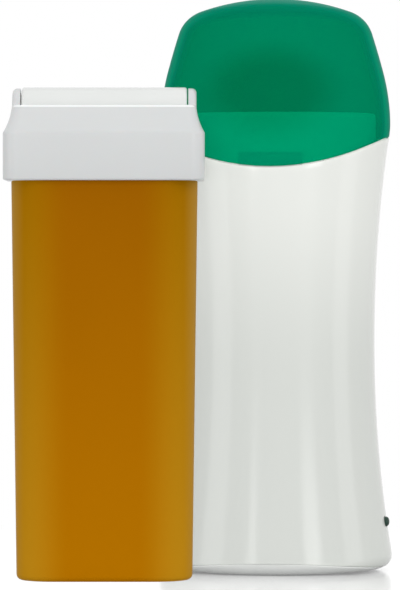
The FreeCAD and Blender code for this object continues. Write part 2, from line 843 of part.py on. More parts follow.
CLIP_LOW = "(Sizes.ptc_low - Sizes.clip_margin)"
CLIP_HIGH = "(Sizes.ptc_high + Sizes.clip_margin)"
CLIP_REAR = f"({MICA_REAR} + Sizes.clip_thickness)"
clip_parts = [
    box("clip_bridge", centred("Sizes.clip_width"), (MICA_REAR, CLIP_REAR), (CLIP_LOW, CLIP_HIGH))
]
clip_holes = []
clip_screws = []
plate_holes = []
CLIP_FOLD_LOW = f"{CLIP_LOW} + Sizes.clip_thickness"
CLIP_FOLD_HIGH = f"{CLIP_HIGH} - Sizes.clip_thickness"
clip_ends = (
    ("low", (CLIP_LOW, CLIP_FOLD_LOW), (f"{CLIP_LOW} - Sizes.clip_foot", CLIP_FOLD_LOW)),
    ("high", (CLIP_FOLD_HIGH, CLIP_HIGH), (CLIP_FOLD_HIGH, f"{CLIP_HIGH} + Sizes.clip_foot")),
)
for end, leg, foot in clip_ends:
    foot_rear = f"{HEATER_REAR} + Sizes.clip_thickness"
    clip_across = centred("Sizes.clip_width")
    clip_parts.append(box(f"clip_leg_{end}", clip_across, (HEATER_REAR, CLIP_REAR), leg))
    clip_parts.append(box(f"clip_foot_{end}", clip_across, (HEATER_REAR, foot_rear), foot))
    screw_z = f"(({foot[0]}) + ({foot[1]})) / 2"
    bite = f"{HEATER_REAR} - Sizes.clip_screw_bite"
    reach = "Sizes.clip_screw_bite + Sizes.clip_thickness"
    hole_radius = "Sizes.clip_screw_radius + Sizes.screw_play"
    clip_holes.append(rod(f"clip_hole_{end}", hole_radius, reach, "Y", "0", bite, screw_z))
    plate_holes.append(
        rod(f"plate_hole_{end}", "Sizes.clip_screw_radius", reach, "Y", "0", bite, screw_z)
    )
    shank = rod(f"clip_shank_{end}", "Sizes.clip_screw_radius", reach, "Y", "0", bite, screw_z)
    head = rod(
        f"clip_head_{end}",
        "Sizes.clip_screw_head",
        "Sizes.clip_screw_head_height",
        "Y",
        "0",
        foot_rear,
        screw_z,
    )
    clip_screws.append(fuse(f"clip_screw_{end}", shank, head))
keep(cut("clip_shape", fuse("clip_blank", *clip_parts), *clip_holes), "plate_clip")
keep(cut("heating_plate_shape", heating_plate, *plate_holes), "heating_plate")
keep(group("clip_screws_group", *clip_screws), "clip_screws")

keep(
    box(
        "thermostat_shape",
        (
            "Sizes.thermostat_x - Sizes.thermostat_width / 2",
            "Sizes.thermostat_x + Sizes.thermostat_width / 2",
        ),
        (HEATER_REAR, f"{HEATER_REAR} + Sizes.thermostat_thickness"),
        ("Sizes.sensor_low", "Sizes.sensor_low + Sizes.thermostat_length"),
    ),
    "thermostat",
)
keep(
    rod(
        "thermal_fuse_shape",
        "Sizes.fuse_radius",
        "Sizes.fuse_length",
        "Z",
        "Sizes.fuse_x",
        f"{HEATER_REAR} + Sizes.fuse_radius",
        "Sizes.sensor_low",
    ),
    "thermal_fuse",
)

# ---------------------------------------------------------------- circuit board

board_blank = box(
    "board_blank",
    centred("2 * Sizes.board_half_width"),
    ("Sizes.board_front", "Sizes.board_rear"),
    ("Sizes.board_low", BOARD_TOP),
)
board_tab = box(
    "board_tab",
    ("Sizes.board_half_width", "Sizes.tab_reach"),
    (
        "-Sizes.button_setback - Sizes.tab_half_depth",
        "-Sizes.button_setback + Sizes.tab_half_depth",
    ),
    ("Sizes.board_low", BOARD_TOP),
)
board_holes = []
board_screws = []
for hand, x in (("left", "-Sizes.post_x"), ("right", "Sizes.post_x")):
    bottom = f"{BOARD_TOP} - Sizes.board_screw_length"
    hole_radius = "Sizes.board_screw_radius + Sizes.screw_play"
    board_holes.append(rod(f"{hand}_board_hole", hole_radius, "Sizes.post_x", "Z", x, "0", "0"))
    shank = rod(
        f"{hand}_board_shank",
        "Sizes.board_screw_radius",
        "Sizes.board_screw_length",
        "Z",
        x,
        "0",
        bottom,
    )
    head = rod(
        f"{hand}_board_head",
        "Sizes.board_screw_head",
        "Sizes.board_screw_head_height",
        "Z",
        x,
        "0",
        BOARD_TOP,
    )
    board_screws.append(fuse(f"{hand}_board_screw", shank, head))
keep(cut("board_shape", fuse("board_joined", board_blank, board_tab), *board_holes), "circuit_board")
keep(group("board_screws_group", *board_screws), "board_screws")

keep(
    box(
        "capacitor_shape",
        ("-Sizes.post_x", "Sizes.capacitor_width - Sizes.post_x"),
        (
            "Sizes.board_front + Sizes.capacitor_margin",
            "Sizes.board_front + Sizes.capacitor_margin + Sizes.capacitor_depth",
        ),
        (BOARD_TOP, f"{BOARD_TOP} + Sizes.capacitor_height"),
    ),
    "film_capacitor",
)
keep(
    rod(
        "glass_fuse_shape",
        "Sizes.glass_fuse_radius",
        "Sizes.glass_fuse_length",
        "X",
        "Sizes.capacitor_width - Sizes.post_x + Sizes.glass_fuse_gap",
        "Sizes.board_front + Sizes.glass_fuse_margin",
        f"{BOARD_TOP} + Sizes.glass_fuse_radius",
    ),
    "board_fuse",
)

# ---------------------------------------------------------------- push button and switch

BUTTON_TIP = f"({BUTTON_WALL} + Sizes.button_proud)"
FLANGE_FACE = f"({BUTTON_WALL} - Sizes.wall - Sizes.button_flange_gap)"
FLANGE_BACK = f"({FLANGE_FACE} - Sizes.button_flange_thickness)"
STEM_END = f"({FLANGE_BACK} - Sizes.button_stem)"


def on_button_axis(name, radius, start, end):
    """A round piece of the button's train, between two places along its axis."""
    return rod(
        name,
        radius,
        f"({end}) - ({start})",
        "X",
        start,
        "-Sizes.button_setback",
        "Sizes.button_height",
    )


# the key's domed end is the cap of a ball, as wide as the key where the dome begins
DOME_RADIUS = "((Sizes.button_radius^2 + Sizes.button_dome^2) / (2 * Sizes.button_dome))"
dome = doc.addObject("Part::Sphere", "button_ball")
bind(dome, Radius=DOME_RADIUS)
place(dome, f"{BUTTON_TIP} - {DOME_RADIUS}", "-Sizes.button_setback", "Sizes.button_height")
key = on_button_axis("button_key", "Sizes.button_radius", FLANGE_BACK, BUTTON_TIP)
domed_key = common("button_domed", key, dome)
keep(
    fuse(
        "button_shape",
        on_button_axis(
            "button_barrel", "Sizes.button_radius", FLANGE_BACK, f"{BUTTON_TIP} - Sizes.button_dome"
        ),
        domed_key,
        on_button_axis("button_collar", "Sizes.button_flange", FLANGE_BACK, FLANGE_FACE),
        on_button_axis("button_foot", "Sizes.plunger_radius", STEM_END, FLANGE_BACK),
    ),
    "power_button",
)

SWITCH_FACE = f"({STEM_END} - Sizes.plunger_length)"
switch_blank = box(
    "switch_blank",
    (f"{SWITCH_FACE} - Sizes.switch_depth", SWITCH_FACE),
    (
        "-Sizes.button_setback - Sizes.switch_width / 2",
        "-Sizes.button_setback + Sizes.switch_width / 2",
    ),
    (BOARD_TOP, "Sizes.button_height + Sizes.switch_width / 2"),
)
switch_bore = on_button_axis(
    "switch_bore",
    "Sizes.plunger_radius + Sizes.plunger_clearance",
    f"{SWITCH_FACE} - Sizes.plunger_hole",
    SWITCH_FACE,
)
keep(cut("switch_shape", switch_blank, switch_bore), "power_switch")
keep(
    on_button_axis(
        "plunger_shape",
        "Sizes.plunger_radius",
        f"{SWITCH_FACE} - Sizes.plunger_hole / 2",
        f"{STEM_END} - Sizes.plunger_reach",
    ),
    "switch_plunger",
)

led_x = f"({SWITCH_FACE} - Sizes.switch_depth - 2 * Sizes.led_radius)"
led_y = "(-Sizes.button_setback + Sizes.switch_width / 2 - Sizes.led_radius)"
led_shoulder = "Sizes.led_height - Sizes.led_radius"
led_stalk = rod("led_stalk", "Sizes.led_radius", led_shoulder, "Z", led_x, led_y, BOARD_TOP)
led_dome = doc.addObject("Part::Sphere", "led_dome")
bind(led_dome, Radius="Sizes.led_radius")
place(led_dome, led_x, led_y, f"{BOARD_TOP} + Sizes.led_height - Sizes.led_radius")
keep(fuse("led_shape", led_stalk, led_dome), "pilot_led")

# ---------------------------------------------------------------- mains inlet

INLET_SHARE = f"1 - {INLET_Z} / Sizes.waist_height"
INLET_WALL = f"({flare('base', 'depth', INLET_SHARE)})"
INLET_FACE = f"({INLET_WALL} - Sizes.inlet_face_drop)"
INLET_FLANGE = f"({INLET_WALL} - Sizes.inlet_flange_drop)"
SOCKET_FLOOR = f"({INLET_FACE} - Sizes.socket_depth)"

inlet = new_body("inlet")


def inlet_block(name, width, height, corner, start, length):
    """A block of the inlet along its depth, rearwards from a start plane."""
    outline = sketch_on(inlet, f"{name}_outline", "XZ_Plane", f"-({start})")
    draw_rounded_rectangle(outline, width, height, corner)
    block = pad(inlet, name, outline, length)
    block.Reversed = True
    return block


inlet_block(
    "inlet_housing",
    "Sizes.inlet_width",
    "Sizes.inlet_height",
    "Sizes.inlet_corner",
    "Sizes.inlet_front",
    f"{INLET_FACE} - Sizes.inlet_front",
)
inlet_block(
    "inlet_flange",
    "Sizes.inlet_flange_width",
    "Sizes.inlet_flange_height",
    "Sizes.inlet_corner",
    f"{INLET_FLANGE} - Sizes.inlet_flange_thickness",
    "Sizes.inlet_flange_thickness",
)
socket_outline = sketch_on(inlet, "socket_outline", "XZ_Plane", f"-{INLET_FACE}")
draw_rounded_rectangle(
    socket_outline, "Sizes.socket_width", "Sizes.socket_height", "Sizes.socket_corner"
)
pocket(inlet, "socket", socket_outline, "Sizes.socket_depth", reverse=True)
place(inlet, z=INLET_Z)

pins = []
pin_channels = []
for hand, sign in (("left", "-"), ("right", "")):
    pin_x = f"{sign}Sizes.pin_pitch / 2"
    pin_start = "Sizes.inlet_front - Sizes.pin_tail"
    pin_end = f"{INLET_FACE} - Sizes.pin_setback"
    pin_length = f"{pin_end} - ({pin_start})"
    pins.append(
        rod(f"{hand}_pin", "Sizes.pin_radius", pin_length, "Y", pin_x, pin_start, INLET_Z)
    )
    pin_channels.append(
        rod(
            f"{hand}_pin_channel",
            "Sizes.pin_radius + Sizes.pin_fit",
            INLET_FACE,
            "Y",
            pin_x,
            "0",
            INLET_Z,
        )
    )
keep(cut("inlet_shape", inlet, *pin_channels), "inlet_socket")
keep(group("inlet_pins_group", *pins), "inlet_pins")

# ---------------------------------------------------------------- wax cartridge

# everything below is built about the cartridge's own upright axis, then set beside the heater


def stand_cartridge(item):
    """Sets a piece of the cartridge in its place beside the heater."""
    item.Placement = Placement(Vector(), Rotation(Vector(0, 0, 1), size("Sizes.cartridge_turn")))
    place(item, "Sizes.cartridge_x", "Sizes.cartridge_y")
    item.setExpression("Placement.Rotation.Angle", "Sizes.cartridge_turn * 1deg")
    return item


def container_outline(body, name, inset, end, height):
    """The container's section at one end, drawn in all round."""
    return chamber_outline(body, name, f"(-({inset}))", end, height)


container = new_body("container")
loft(
    container,
    "container_outside",
    "Additive",
    [
        container_outline(container, "container_foot", "Sizes.container_edge", "bottom", "0"),
        container_outline(
            container,
            "container_bevel",
            "Sizes.container_bevel",
            "bottom",
            "Sizes.container_bevel",
        ),
        container_outline(container, "container_base", "0", "bottom", "Sizes.container_edge"),
        container_outline(container, "container_brim", "0", "top", "Sizes.container_height"),
    ],
)
neck_outline = level_outline(
    container,
    "neck_outline",
    "Sizes.neck_width",
    "Sizes.neck_depth",
    "Sizes.neck_corner",
    "Sizes.container_height",
)
pad(container, "neck", neck_outline, "Sizes.neck_height")
CONTAINER_CEILING = "(Sizes.container_height - Sizes.container_wall)"
loft(
    container,
    "container_inside",
    "Subtractive",
    [
        container_outline(
            container, "inside_foot", "Sizes.container_wall", "bottom", "Sizes.container_wall"
        ),
        container_outline(
            container, "inside_brim", "Sizes.container_wall", "top", CONTAINER_CEILING
        ),
    ],
)
throat_outline = level_outline(
    container,
    "throat_outline",
    "Sizes.neck_width - 2 * Sizes.neck_wall",
    "Sizes.neck_depth - 2 * Sizes.neck_wall",
    "Sizes.neck_corner - Sizes.neck_wall",
    "Sizes.container_height + Sizes.neck_height",
)
pocket(container, "throat", throat_outline, "Sizes.neck_height + 2 * Sizes.container_wall")
keep(stand_cartridge(container), "cartridge_container")

wax = new_body("wax")
WAX_INSET = "Sizes.container_wall + Sizes.wax_gap"
loft(
    wax,
    "wax_block",
    "Additive",
    [
        container_outline(wax, "wax_foot", WAX_INSET, "bottom", WAX_INSET),
        container_outline(
            wax, "wax_surface", WAX_INSET, "top", f"{CONTAINER_CEILING} - Sizes.wax_headspace"
        ),
    ],
)
keep(stand_cartridge(wax), "wax_fill")

SKIRT_TOP = "(Sizes.container_height + Sizes.skirt_height)"
LIP_TOP = f"({SKIRT_TOP} + Sizes.lip_rise)"
ROLLER_Z = f"({LIP_TOP} + Sizes.roller_rise - Sizes.lip_rise - Sizes.roller_radius)"
EAR_OUT = "(Sizes.roller_length / 2 + Sizes.trough_clearance + Sizes.ear_thickness)"

head = new_body("head")
skirt_outline = level_outline(
    head,
    "skirt_outline",
    "Sizes.head_width",
    "Sizes.head_depth",
    "Sizes.head_corner",
    "Sizes.container_height",
)
pad(head, "skirt", skirt_outline, "Sizes.skirt_height")
loft(
    head,
    "brow",
    "Additive",
    [
        level_outline(
            head, "brow_foot", "Sizes.head_width", "Sizes.head_depth", "Sizes.head_corner", SKIRT_TOP
        ),
        level_outline(head, "brow_lip", "Sizes.lip_width", "Sizes.lip_depth", "Sizes.lip_corner", LIP_TOP),
    ],
)
ear_outline = circle_outline(
    head,
    "ear_outline",
    "YZ_Plane",
    "Sizes.roller_radius - Sizes.ear_drop",
    f"-{EAR_OUT}",
    y=ROLLER_Z,
)
pad(head, "ears", ear_outline, f"2 * {EAR_OUT}")


# an edge with less reach than this along the roller's axis lies square to it
SQUARE = 0.01


def is_ear_edge(edge):
    tall = edge.BoundBox.ZMax > size(f"{LIP_TOP} + Sizes.ear_edge")
    return tall and edge.BoundBox.XLength < SQUARE


round_edges(head, "ear_edges", "Sizes.ear_edge", is_ear_edge)
trough_outline = circle_outline(
    head, "trough_outline", "YZ_Plane", "Sizes.roller_radius + Sizes.trough_clearance", "0", y=ROLLER_Z
)
pocket(
    head,
    "trough",
    trough_outline,
    "Sizes.roller_length + 2 * Sizes.trough_clearance",
    midplane=True,
)
axle_outline = circle_outline(
    head, "axle_outline", "YZ_Plane", "Sizes.axle_radius + Sizes.axle_clearance", "0", y=ROLLER_Z
)
AXLE_HOLE_END = f"({EAR_OUT} - Sizes.ear_thickness / 4)"
pocket(head, "axle_holes", axle_outline, f"2 * {AXLE_HOLE_END}", midplane=True)
SOCKET_TOP = "(Sizes.container_height + Sizes.neck_height + Sizes.neck_clearance)"
neck_socket = level_outline(
    head,
    "neck_socket_outline",
    "Sizes.neck_width + 2 * Sizes.neck_clearance",
    "Sizes.neck_depth + 2 * Sizes.neck_clearance",
    "Sizes.neck_corner + Sizes.neck_clearance",
    SOCKET_TOP,
)
pocket(head, "neck_socket", neck_socket, "Sizes.neck_height + 2 * Sizes.neck_clearance")
GATE_TOP = f"({SOCKET_TOP} + Sizes.gate_thickness + Sizes.neck_clearance)"
gate_seat = level_outline(
    head,
    "gate_seat_outline",
    "Sizes.gate_width + 2 * Sizes.neck_clearance",
    "Sizes.gate_depth + 2 * Sizes.neck_clearance",
    "Sizes.lip_corner",
    GATE_TOP,
)
pocket(head, "gate_seat", gate_seat, "Sizes.gate_thickness + 2 * Sizes.neck_clearance")
slot_outline = level_outline(
    head, "slot_outline", "Sizes.slot_width", "Sizes.slot_depth", "Sizes.slot_depth / 3", ROLLER_Z
)
pocket(head, "wax_slot", slot_outline, f"{ROLLER_Z} - {SOCKET_TOP}")
keep(stand_cartridge(head), "cartridge_head")

gate = new_body("gate")
gate_outline = level_outline(
    gate, "gate_outline", "Sizes.gate_width", "Sizes.gate_depth", "Sizes.lip_corner", SOCKET_TOP
)
pad(gate, "gate_plate", gate_outline, "Sizes.gate_thickness")
gate_slot = level_outline(
    gate,
    "gate_slot_outline",
    "Sizes.slot_width",
    "Sizes.slot_depth / 2",
    "Sizes.slot_depth / 6",
    f"{SOCKET_TOP} + Sizes.gate_thickness",
)
pocket(gate, "gate_slot", gate_slot, "2 * Sizes.gate_thickness")
keep(stand_cartridge(gate), "metering_gate")

roller = new_body("roller_body")
roller_outline = circle_outline(
    roller, "roller_outline", "YZ_Plane", "Sizes.roller_radius", "-Sizes.roller_length / 2", y=ROLLER_Z
)
pad(roller, "roller_barrel", roller_outline, "Sizes.roller_length")
round_edges(roller, "roller_edges", "Sizes.head_edge", lambda edge: edge.BoundBox.XLength < SQUARE)
roller_bore = circle_outline(
    roller, "roller_bore_outline", "YZ_Plane", "Sizes.roller_bore", "0", y=ROLLER_Z
)
pocket(roller, "roller_bore", roller_bore, "2 * Sizes.roller_length", midplane=True)
keep(stand_cartridge(roller), "roller")

axle = new_body("axle")
AXLE_HALF = f"({AXLE_HOLE_END} - Sizes.axle_clearance)"
axle_bar = circle_outline(
    axle, "axle_bar_outline", "YZ_Plane", "Sizes.axle_radius", f"-{AXLE_HALF}", y=ROLLER_Z
)
pad(axle, "axle_bar", axle_bar, f"2 * {AXLE_HALF}")
keep(stand_cartridge(axle), "roller_axle")

# ---------------------------------------------------------------- leads to the heating element


def lead(name, side):
    """An insulated lead: up from the board, back behind the liner and up to the element."""
    radius = size("Sizes.lead_radius")
    bend = size("Sizes.lead_bend")
    x = side * size("Sizes.lead_x")
    front = size("Sizes.lead_start_y")
    rear = size(f"{HEATER_REAR} + Sizes.lead_radius + Sizes.hole_clearance")
    board = size(BOARD_TOP)
    level = (board + size(LINER_LOW)) / 2
    end = size("Sizes.ptc_low")
    slant = math.sqrt(0.5)
    points = [
        Vector(x, front, board),
        Vector(x, front, level - bend),
        Vector(x, front + bend * (1 - slant), level - bend * (1 - slant)),
        Vector(x, front + bend, level),
        Vector(x, rear - bend, level),
        Vector(x, rear - bend * (1 - slant), level + bend * (1 - slant)),
        Vector(x, rear, level + bend),
        Vector(x, rear, end),
    ]
    edges = [
        Part.LineSegment(points[0], points[1]).toShape(),
        Part.Arc(points[1], points[2], points[3]).toShape(),
        Part.LineSegment(points[3], points[4]).toShape(),
        Part.Arc(points[4], points[5], points[6]).toShape(),
        Part.LineSegment(points[6], points[7]).toShape(),
    ]
    path = Part.Wire(edges)
    section = Part.Wire(Part.makeCircle(radius, points[0], Vector(0, 0, 1)))
    item = doc.addObject("Part::Feature", f"{name}_shape")
    item.Shape = path.makePipeShell([section], True, False)
    return keep(item, name)


lead("live_lead", 1)
lead("neutral_lead", -1)

# ---------------------------------------------------------------- build, check and write

doc.recompute()
for item in doc.Objects:
    if "Invalid" in item.State or "Error" in item.State:
        raise RuntimeError(f"{item.Name} ({item.Label}) failed: {item.State}")
os.makedirs("parts", exist_ok=True)
for piece in pieces:
    shape = piece.Shape
    if shape.isNull() or not shape.isValid() or not shape.Solids:
        raise RuntimeError(f"{piece.Label} has no valid solid")
for piece in pieces:
    piece.Shape.exportStep(f"parts/{piece.Label}.step")
    print(f"{piece.Label}: {len(piece.Shape.Solids)} solid(s), {piece.Shape.Volume:.1f} mm3")
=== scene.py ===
"""A roll-on wax heater and its cartridge, in the order in which they are put together."""
from math import asin, atan2, copysign, cos, hypot, pi, radians, sin, sqrt
import bpy
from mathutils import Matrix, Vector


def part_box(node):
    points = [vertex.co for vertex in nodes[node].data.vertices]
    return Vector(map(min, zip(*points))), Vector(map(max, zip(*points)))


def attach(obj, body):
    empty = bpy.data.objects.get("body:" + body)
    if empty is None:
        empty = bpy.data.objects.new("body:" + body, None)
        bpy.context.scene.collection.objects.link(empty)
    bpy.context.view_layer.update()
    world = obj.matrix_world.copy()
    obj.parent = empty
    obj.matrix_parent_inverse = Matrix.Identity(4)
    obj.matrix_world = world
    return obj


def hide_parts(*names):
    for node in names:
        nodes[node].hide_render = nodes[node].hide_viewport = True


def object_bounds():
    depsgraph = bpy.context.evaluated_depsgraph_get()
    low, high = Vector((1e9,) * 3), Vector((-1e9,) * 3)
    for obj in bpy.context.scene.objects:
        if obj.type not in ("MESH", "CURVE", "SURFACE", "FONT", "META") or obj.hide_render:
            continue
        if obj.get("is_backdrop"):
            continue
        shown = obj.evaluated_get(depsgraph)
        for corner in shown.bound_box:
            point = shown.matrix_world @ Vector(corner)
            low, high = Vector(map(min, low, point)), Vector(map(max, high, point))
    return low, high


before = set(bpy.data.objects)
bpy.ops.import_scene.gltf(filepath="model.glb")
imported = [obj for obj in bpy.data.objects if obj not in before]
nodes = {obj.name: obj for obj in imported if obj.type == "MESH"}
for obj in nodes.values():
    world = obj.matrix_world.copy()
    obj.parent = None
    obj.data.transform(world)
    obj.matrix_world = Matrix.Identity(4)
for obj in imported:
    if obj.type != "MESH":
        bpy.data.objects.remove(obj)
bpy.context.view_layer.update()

# ---------------------------------------------------------------- base cover
# The cover closes the heater from below. It is moulded in glossy white ABS, arched along its
# seam with the shells, with a seat for the rubber pad and four deep screw holes.

# sizes are in mm, unless a comment says m, and Blender's own are in m
MM = 0.001
ROUND = 2 * pi

# the heater's upright outline: height, half width, half depth, and how fast the two grow
OUTLINE = (
    (0.5, 35.04, 27.82, -0.182, -0.102),
    (67.0, 29.15, 24.6, 0.0, 0.0),
    (124.0, 33.0, 25.85, 0.14, 0.035),
    (131.0, 33.8, 25.99, 0.0, 0.0),
    (147.0, 31.55, 24.99, -0.27, -0.115),
    (162.0, 26.98, 22.94, -0.346, -0.158),
)
# how round the foot is, where its lower edge lies in front, and how much higher at the sides
FOOT_SIDE = 4.5
FOOT_FRONT = 2.2
FOOT_LOW = 0.05
FOOT_LIFT = 0.75
# the arched seam between the cover and the shells
ARCH_RADIUS = 250.0
ARCH_HEIGHT = 3.5
ARCH_GUESS = 3.0


def oval_at(height):
    """The half width and half depth of the heater's wall at a height."""
    for low, high in zip(OUTLINE, OUTLINE[1:]):
        if height <= high[0] or high is OUTLINE[-1]:
            break
    rise = high[0] - low[0]
    way = (height - low[0]) / rise
    start = 2 * way**3 - 3 * way**2 + 1
    leave = (way**3 - 2 * way**2 + way) * rise
    arrive = (way**3 - way**2) * rise
    return [
        start * low[side] + (1 - start) * high[side]
        + leave * low[side + 2] + arrive * high[side + 2]
        for side in (1, 2)
    ]


def foot_low(angle):
    """The height of the cover's lower edge, which rises a little to the sides."""
    return FOOT_LOW + FOOT_LIFT * cos(angle) ** 2


def foot_inset(angle, height):
    """How far the rounded foot draws the wall in. It is rounder at the sides than in front."""
    radius = FOOT_FRONT + (FOOT_SIDE - FOOT_FRONT) * cos(angle) ** 2
    drop = min(max(foot_low(angle) + radius - height, 0.0), radius)
    return radius - sqrt(radius**2 - drop**2)


def on_wall(angle, height, inset=0.0):
    """A point of the heater's wall, or of a surface that lies inside it by an inset."""
    half_width, half_depth = oval_at(height)
    inset += foot_inset(angle, height)
    return (half_width - inset) * cos(angle), (half_depth - inset) * sin(angle), height


def arch(x, radius=ARCH_RADIUS):
    """The height of the arched seam over the cover."""
    return ARCH_HEIGHT - ARCH_RADIUS + sqrt(radius**2 - x**2)


def on_curve(angle, curve, height):
    """Where the wall meets a curve, which gives a height for each distance from the middle.
    Six rounds from a first guess of the height settle it."""
    for _ in range(6):
        height = curve(on_wall(angle, height)[0])
    return height


def select_only(*pieces):
    """Makes these pieces the only ones that an operator acts on, with the first one active."""
    bpy.ops.object.select_all(action="DESELECT")
    for piece in pieces:
        piece.select_set(True)
    bpy.context.view_layer.objects.active = pieces[0]


def apply_place():
    """Puts the place, turn and size of what is selected into its mesh."""
    bpy.ops.object.transform_apply(location=True, rotation=True, scale=True)


# points closer together than this are merged
WELD = 0.001


def wrap(name, columns, rings, place):
    """A flat grid laid onto a form. place gives the point, in mm, of a way round from 0 to 1
    and a ring; rings run up the outside, so that the faces point outwards."""
    bpy.ops.object.select_all(action="DESELECT")
    bpy.ops.mesh.primitive_grid_add(x_subdivisions=columns, y_subdivisions=rings - 1, size=2)
    piece = bpy.context.object
    piece.name = piece.data.name = name
    for vertex in piece.data.vertices:
        way = (vertex.co.x + 1) / 2
        ring = round((vertex.co.y + 1) / 2 * (rings - 1))
        vertex.co = [MM * measure for measure in place(way, ring)]
    bpy.ops.object.mode_set(mode="EDIT")
    bpy.ops.mesh.select_all(action="SELECT")
    bpy.ops.mesh.remove_doubles(threshold=WELD * MM)
    bpy.ops.object.mode_set(mode="OBJECT")
    return piece


def turned(name, columns, profile):
    """A closed oval piece from its profile: half width, half depth and height of each ring."""

    def place(way, ring):
        half_width, half_depth, height = profile[ring]
        return half_width * cos(ROUND * way), half_depth * sin(ROUND * way), height

    return wrap(name, columns, len(profile), place)


def modify(piece, kind, **settings):
    """Adds a modifier to a piece and applies it."""
    select_only(piece)
    modifier = piece.modifiers.new(kind.lower(), kind)
    for key, value in settings.items():
        setattr(modifier, key, value)
    bpy.ops.object.modifier_apply(modifier=modifier.name)


# edges shorter than this, and faces thinner, are slivers
SLIVER = 0.005


def cut_away(piece, *tools, operation="DIFFERENCE"):
    """Cuts tools out of a piece, or joins them to it."""
    for tool in tools:
        modify(piece, "BOOLEAN", object=tool, operation=operation, solver="EXACT")
        bpy.data.objects.remove(tool)
    # cuts leave slivers where they pass close by a corner, and these are taken out
    bpy.ops.object.mode_set(mode="EDIT")
    bpy.ops.mesh.select_all(action="SELECT")
    bpy.ops.mesh.dissolve_degenerate(threshold=SLIVER * MM)
    bpy.ops.object.mode_set(mode="OBJECT")


def smooth(piece, angle=35):
    """Shades a piece smooth, apart from edges sharper than an angle."""
    select_only(piece)
    bpy.ops.object.shade_smooth_by_angle(angle=radians(angle))
    return piece


def linear(code):
    """An sRGB hex colour as linear red, green and blue, with alpha."""
    shares = [int(code[start : start + 2], 16) / 255 for start in (1, 3, 5)]
    return [s / 12.92 if s <= 0.04045 else ((s + 0.055) / 1.055) ** 2.4 for s in shares] + [1.0]


def add(tree, kind, inputs=None, **settings):
    """Adds one node: settings go on the node, inputs are values or other nodes' sockets."""
    node = tree.nodes.new(kind)
    for key, value in settings.items():
        setattr(node, key, value)
    for socket, value in (inputs or {}).items():
        if isinstance(value, bpy.types.NodeSocket):
            tree.links.new(value, node.inputs[socket])
        else:
            node.inputs[socket].default_value = value
    return node


def surface(name, light, dark, drift, roughness, grain, relief, spread=0.04, **shader):
    """A finish whose two shades drift into each other over some mm, with a skin whose grain and
    relief are in mm too. spread is how much the roughness varies; shader values go on the
    shader's own sockets."""
    material = bpy.data.materials.new(name)
    material.use_nodes = True
    tree = material.node_tree
    tree.nodes.clear()
    place = add(tree, "ShaderNodeTexCoord").outputs["Object"]
    scales = {"Vector": place, "Scale": 1 / (drift * MM), "Detail": 3.0}
    cloud = add(tree, "ShaderNodeTexNoise", scales).outputs[0]
    scales = {"Vector": place, "Scale": 1 / (grain * MM), "Detail": 2.0}
    skin = add(tree, "ShaderNodeTexNoise", scales).outputs[0]
    shades = {0: cloud, 6: linear(dark), 7: linear(light)}
    shade = add(tree, "ShaderNodeMix", shades, data_type="RGBA")
    ends = {"Value": skin, "To Min": roughness - spread, "To Max": roughness + spread}
    gloss = add(tree, "ShaderNodeMapRange", ends)
    bump = add(tree, "ShaderNodeBump", {"Height": skin, "Strength": 1.0, "Distance": relief * MM})
    values = {key.replace("_", " "): value for key, value in shader.items()}
    values["Base Color"] = shade.outputs[2]
    values["Roughness"] = gloss.outputs[0]
    values["Normal"] = bump.outputs[0]
    finished = add(tree, "ShaderNodeBsdfPrincipled", values)
    add(tree, "ShaderNodeOutputMaterial", {"Surface": finished.outputs[0]})
    return material


def shader_of(tree):
    """The shader that a finish is made with."""
    return next(node for node in tree.nodes if node.type == "BSDF_PRINCIPLED")


def tint(material, share, colour):
    """Lays another colour over a finish's own, by a share from 0 to 1."""
    tree = material.node_tree
    base = shader_of(tree).inputs["Base Color"]
    shades = {0: share, 6: base.links[0].from_socket, 7: colour}
    laid = add(tree, "ShaderNodeMix", shades, data_type="RGBA")
    tree.links.new(laid.outputs[2], base)


def zone(tree, *steps, most=1.0):
    """A share that is 0 outside a zone and grows smoothly to its most. Each step is a length,
    the mm at which the zone starts and the mm from which it is full; steps narrow each other."""
    share = most
    for length, start, full in steps:
        ends = {"Value": length, "From Min": start * MM, "From Max": full * MM, "To Max": share}
        share = add(tree, "ShaderNodeMapRange", ends, interpolation_type="SMOOTHSTEP").outputs[0]
    return share


def axes_of(tree):
    """The three coordinates of a piece's own place."""
    place = add(tree, "ShaderNodeTexCoord").outputs["Object"]
    return add(tree, "ShaderNodeSeparateXYZ", {0: place}).outputs


def dress(piece, material):
    """Gives a new piece, or a node of the frame, its finish."""
    if piece.material_slots:
        for slot in piece.material_slots:
            slot.material = material
    else:
        piece.data.materials.append(material)


def stand_for(piece, node, body):
    """Puts a finished piece in the place of the frame's node of the same thing."""
    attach(piece, body)
    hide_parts(node)


# the seat of the pad in the underside, and the plate that reaches up into the shells
SEAT = (23.7, 16.5)
SEAT_TOP = 1.0
PLATE_TOP = 3.1
PLATE_INSET = 4.3
# the cover's wall: set back under the shells, proud at the corners, leaning in to its foot, with
# a rim that is rounder at the corners
COVER_STEP = 0.3
COVER_PROUD = 1.2
COVER_LEAN = 0.25
COVER_RIM = (0.06, 0.4)
COVER_COLUMNS = 192
FLAT_STEPS = 8
FOOT_STEPS = 16
RIM_STEPS = 4


